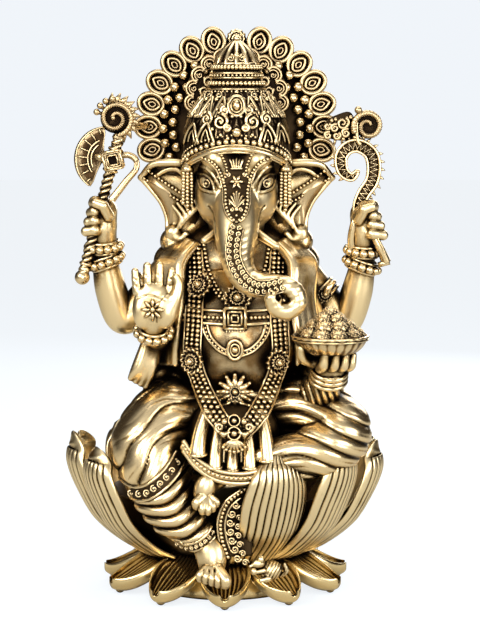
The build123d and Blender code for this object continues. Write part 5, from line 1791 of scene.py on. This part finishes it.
def lotus_base():
    """The splayed lower petals: ridged boats with thick rims, a knob under each tip, on a hollow foot."""
    heap = Heap()
    reach, top = high("lotus_base")[0], high("lotus_base")[2]
    share = np.linspace(0, 1, 40)
    far = 31 + (reach - 28.5) * share
    height = top + 3.5 - 19.0 * share ** 0.95 + 2.5 * share ** 8
    half = 12.6 * np.sin(PI * (0.18 + 0.80 * share)) ** 0.72 + 0.8
    u = np.linspace(-1, 1, 61)
    sections = []
    for out, z, wide, s in zip(far, height, half, share):
        rim = 2.0 * ridge(np.abs(u) - 0.90, 0.10)
        dish = -3.4 * (1 - u ** 2) * math.sin(PI * (0.15 + 0.8 * s)) ** 0.6
        ribbing = 0.55 * np.abs(np.cos(PI * 5.5 * u)) * (np.abs(u) < 0.80) * (1 - s ** 6)
        hull = 1.2 + 8.0 * np.sqrt(1 - u ** 2) * math.sin(PI * (0.12 + 0.8 * s)) ** 0.7
        upper = np.stack([wide * u, out + 0 * u, z + rim + dish + ribbing], 1)
        lower = np.stack([wide * u, out - 0.8 * (1 - u ** 2), np.maximum(z - hull, 0.6)], 1)
        sections.append(np.vstack([upper, lower[::-1]]))
    for turn in whole_turn(11):
        heap.tube([swung(section, turn) for section in sections])
        knob = swung(np.array([[0, reach - 2.6, 2.7]]), turn)[0]
        heap.balls([knob, knob * (1, 1, 0) + (0, 0, 4.2)], [2.6, 2.2])
    ring = 41.0                             # the foot's radius
    foot = curve([(ring, 0), (ring - 0.8, 6), (ring - 4, 13), (ring - 8, top), (ring - 13, top - 1),
                  (ring - 10, 10), (ring - 5, 3), (ring - 5, 0)], 40)
    heap.tube([level_ring((0, 0), max(z, 0), r, whole_turn(96)) for r, z in foot], closed=True)
    heap.finish("lotus_base_petals", PETAL, "lotus_base")


def lotus_seat():
    """The seed pod between the petals."""
    heap = Heap()
    centre = middle("lotus_seat")
    wide, deep, tall = high("lotus_seat") - centre
    turns = whole_turn(120)
    rings = []
    for share, rise in ((0.02, -0.6), (0.5, -0.9), (0.72, -1.0), (0.9, 0.2), (1.0, 0.7), (1.02, 0.85),
                        (0.99, 1.0), (0.93, 1.02), (0.5, 1.0), (0.02, 1.0)):
        rib = share * (1 + 0.012 * np.cos(30 * turns) * (share > 0.7))
        rings.append(level_ring(centre, centre[2] + tall * rise, wide * rib, turns, deep * rib))
    heap.tube(rings)
    heap.finish("lotus_seat_ribbed", LOTUS, "lotus_seat")


def mouse():
    """The small mouse on the petal, eating a round sweet."""
    centre = middle("mouse")
    at = offsets_from(centre)
    clay = Clay(low("mouse") - (5, 6, 4), high("mouse") + (6, 6, 5), FINE * 0.7)
    clay.egg(at(2.2, 0.5, -1.2), (6.4, 4.4, 5.0), turn=turned(0, -24, 0))
    clay.egg(at(-3.8, -1.6, 3.2), (3.4, 2.7, 2.8), 1.2)
    clay.tube([at(-5.2, -2.2, 2.8, 1.8), at(-8.0, -2.8, 2.0, 0.8)], 1.0)
    for side in (-1, 1):
        clay.egg(at(-2.6, -1.2 + side * 2.0, 5.4), (1.5, 0.8, 1.6), 0.3)
        clay.tube([at(-1.0, -2.0 + side * 1.6, 0, 1.2), at(-5.4, -2.6 + side * 1.2, -0.8, 0.9)], 0.5)
    clay.tube([at(1.5, -3.5, -4.2, 1.5), at(-2.5, -4.0, -5.0, 1.2)], 0.8)
    clay.limb([at(8.0, 1, -3.5, 1.2), at(10.5, -1, -1, 1.0), at(9.5, -2, 3, 0.7)], 16, 0.6)

    def fur(x, y, z):
        strands = 0.12 * np.sin((x - 0.6 * z) * 3.4)
        return strands * np.clip((x - centre[0] + 1) / 2, 0, 1) + 0 * y

    clay.emboss(centre - (2, 8, 8), centre + (12, 8, 8), fur)
    clay.egg(at(-6.2, -3.4, -0.4), (1.9, 1.9, 1.9), 0.1)
    clay.skin("mouse_cast", LOTUS, "mouse")


# ---------------------------------------------------------------- stage

def aim(thing, target):
    """Turns a camera or light to look at a place in mm."""
    way = Vector(target) * MM - thing.location
    thing.rotation_euler = way.to_track_quat("-Z", "Y").to_euler()


def lamp(name, place, target, size, power, colour=(1, 1, 1)):
    """A soft square light. Its size is in metres and its power in watts."""
    data = bpy.data.lights.new(name, "AREA")
    data.size = size
    data.energy = power
    data.color = colour
    light = bpy.data.objects.new(name, data)
    light.location = Vector(place) * MM
    bpy.context.scene.collection.objects.link(light)
    aim(light, target)


def mixed(tree, share, first, second):
    """A colour between two others."""
    return node(tree, "Mix", {"Factor": share, "A": first, "B": second}, data_type="RGBA").outputs["Result"]


def floor():
    """A pale floor that the camera sees as lit paper, and the brass sees as a dimmer surface."""
    pale = bpy.data.materials.new("floor_pale")
    pale.use_nodes = True
    tree = pale.node_tree
    seen = node(tree, "LightPath", {}).outputs["Is Camera Ray"]
    tint = mixed(tree, seen, (0.54, 0.53, 0.49, 1), (0.20, 0.22, 0.24, 1))
    glow = node(tree, "Math", {0: seen, 1: 0.86}, operation="MULTIPLY").outputs["Value"]
    feed(tree, tree.nodes["Principled BSDF"],
         {"Roughness": 0.8, "Specular IOR Level": 0.1, "Base Color": tint,
          "Emission Color": (0.93, 0.965, 1.0, 1), "Emission Strength": glow})
    mesh = bpy.data.meshes.new("floor")
    far = 4.0                               # metres from the middle to each edge
    mesh.from_pydata([(-far, -far, 0), (far, -far, 0), (far, far, 0), (-far, far, 0)], [], [(0, 1, 2, 3)])
    mesh.materials.append(pale)
    ground = bpy.data.objects.new("floor", mesh)
    bpy.context.scene.collection.objects.link(ground)


def room():
    """A world that is pale to the camera, and that the brass reflects as a dim room with a bright front."""
    world = bpy.data.worlds.new("room")
    bpy.context.scene.world = world
    world.use_nodes = True
    tree = world.node_tree
    way = node(tree, "TexCoord", {}).outputs["Generated"]
    bright_side = (-0.10, -0.78, 0.50)
    facing_it = node(tree, "VectorMath", {0: way, 1: bright_side}, operation="DOT_PRODUCT").outputs["Value"]
    share = mapped(tree, facing_it, (-1, 1), (0, 1))
    reflected = ramp(tree, share, ((0.50, (0.03, 0.022, 0.015)), (0.95, (0.66, 0.66, 0.66))))
    seen = node(tree, "LightPath", {}).outputs["Is Camera Ray"]
    colour = mixed(tree, seen, reflected, (0.875, 0.912, 0.955, 1))
    feed(tree, tree.nodes["Background"], {"Color": colour, "Strength": 1.0})


def photo_camera():
    """The camera, at the height and distance of the photo's."""
    target = np.array([AXIS, 0.0, 150.0])
    distance, rise = 1100.0, math.radians(6.5)
    camera = bpy.data.objects.new("camera", bpy.data.cameras.new("camera"))
    bpy.context.scene.collection.objects.link(camera)
    camera.location = Vector(target + (0, -distance * math.cos(rise), distance * math.sin(rise))) * MM
    aim(camera, target)
    camera.data.lens = 116.8
    camera.data.sensor_fit = "VERTICAL"
    camera.data.sensor_height = 36.0
    camera.data.shift_x = 0.00547           # as shares of the picture's height
    camera.data.shift_y = -0.02516
    bpy.context.scene.camera = camera
    bpy.context.scene.view_settings.view_transform = "Standard"


def stage():
    """Camera, five soft lights, the pale floor and the room round it."""
    photo_camera()
    lamp("key", (-520, -600, 560), (AXIS, 0, 150), 0.46, 4.6, (1.0, 0.97, 0.92))
    lamp("fill", (640, -420, 280), (AXIS, 0, 150), 0.42, 2.6, (0.95, 0.97, 1.0))
    lamp("top", (60, 120, 760), (AXIS, 0, 180), 0.55, 2.4)
    lamp("back", (240, 760, 420), (AXIS, 0, 150), 0.50, 3.0)
    lamp("front", (120, -1000, 330), (AXIS, 0, 120), 0.52, 4.2)
    room()
    floor()


# ---------------------------------------------------------------- everything

def make_idol():
    """Makes every visible piece."""
    head_clay = head()
    forehead_plate(head_clay)
    trunk_chain(head_clay)
    tusks()
    ear(-1, "right_ear")
    ear(1, "left_ear")
    side_tassels()
    crown_bulb()
    headband()
    crown_front()
    crown_tiers()
    crown_dome()
    crown_crest()
    halo()
    halo_back()
    body = torso()
    garland(body)
    medallions(body)
    belly_band(body)
    shawl()
    waist_cloth()
    blessing_arm(rear_arms())
    bowl_arm()
    bowl_and_sweets()
    axe()
    goad()
    right_leg()
    left_leg()
    feet()
    apron()
    hem_panel()
    lotus_cup()
    lotus_base()
    lotus_seat()
    mouse()


make_idol()
stage()
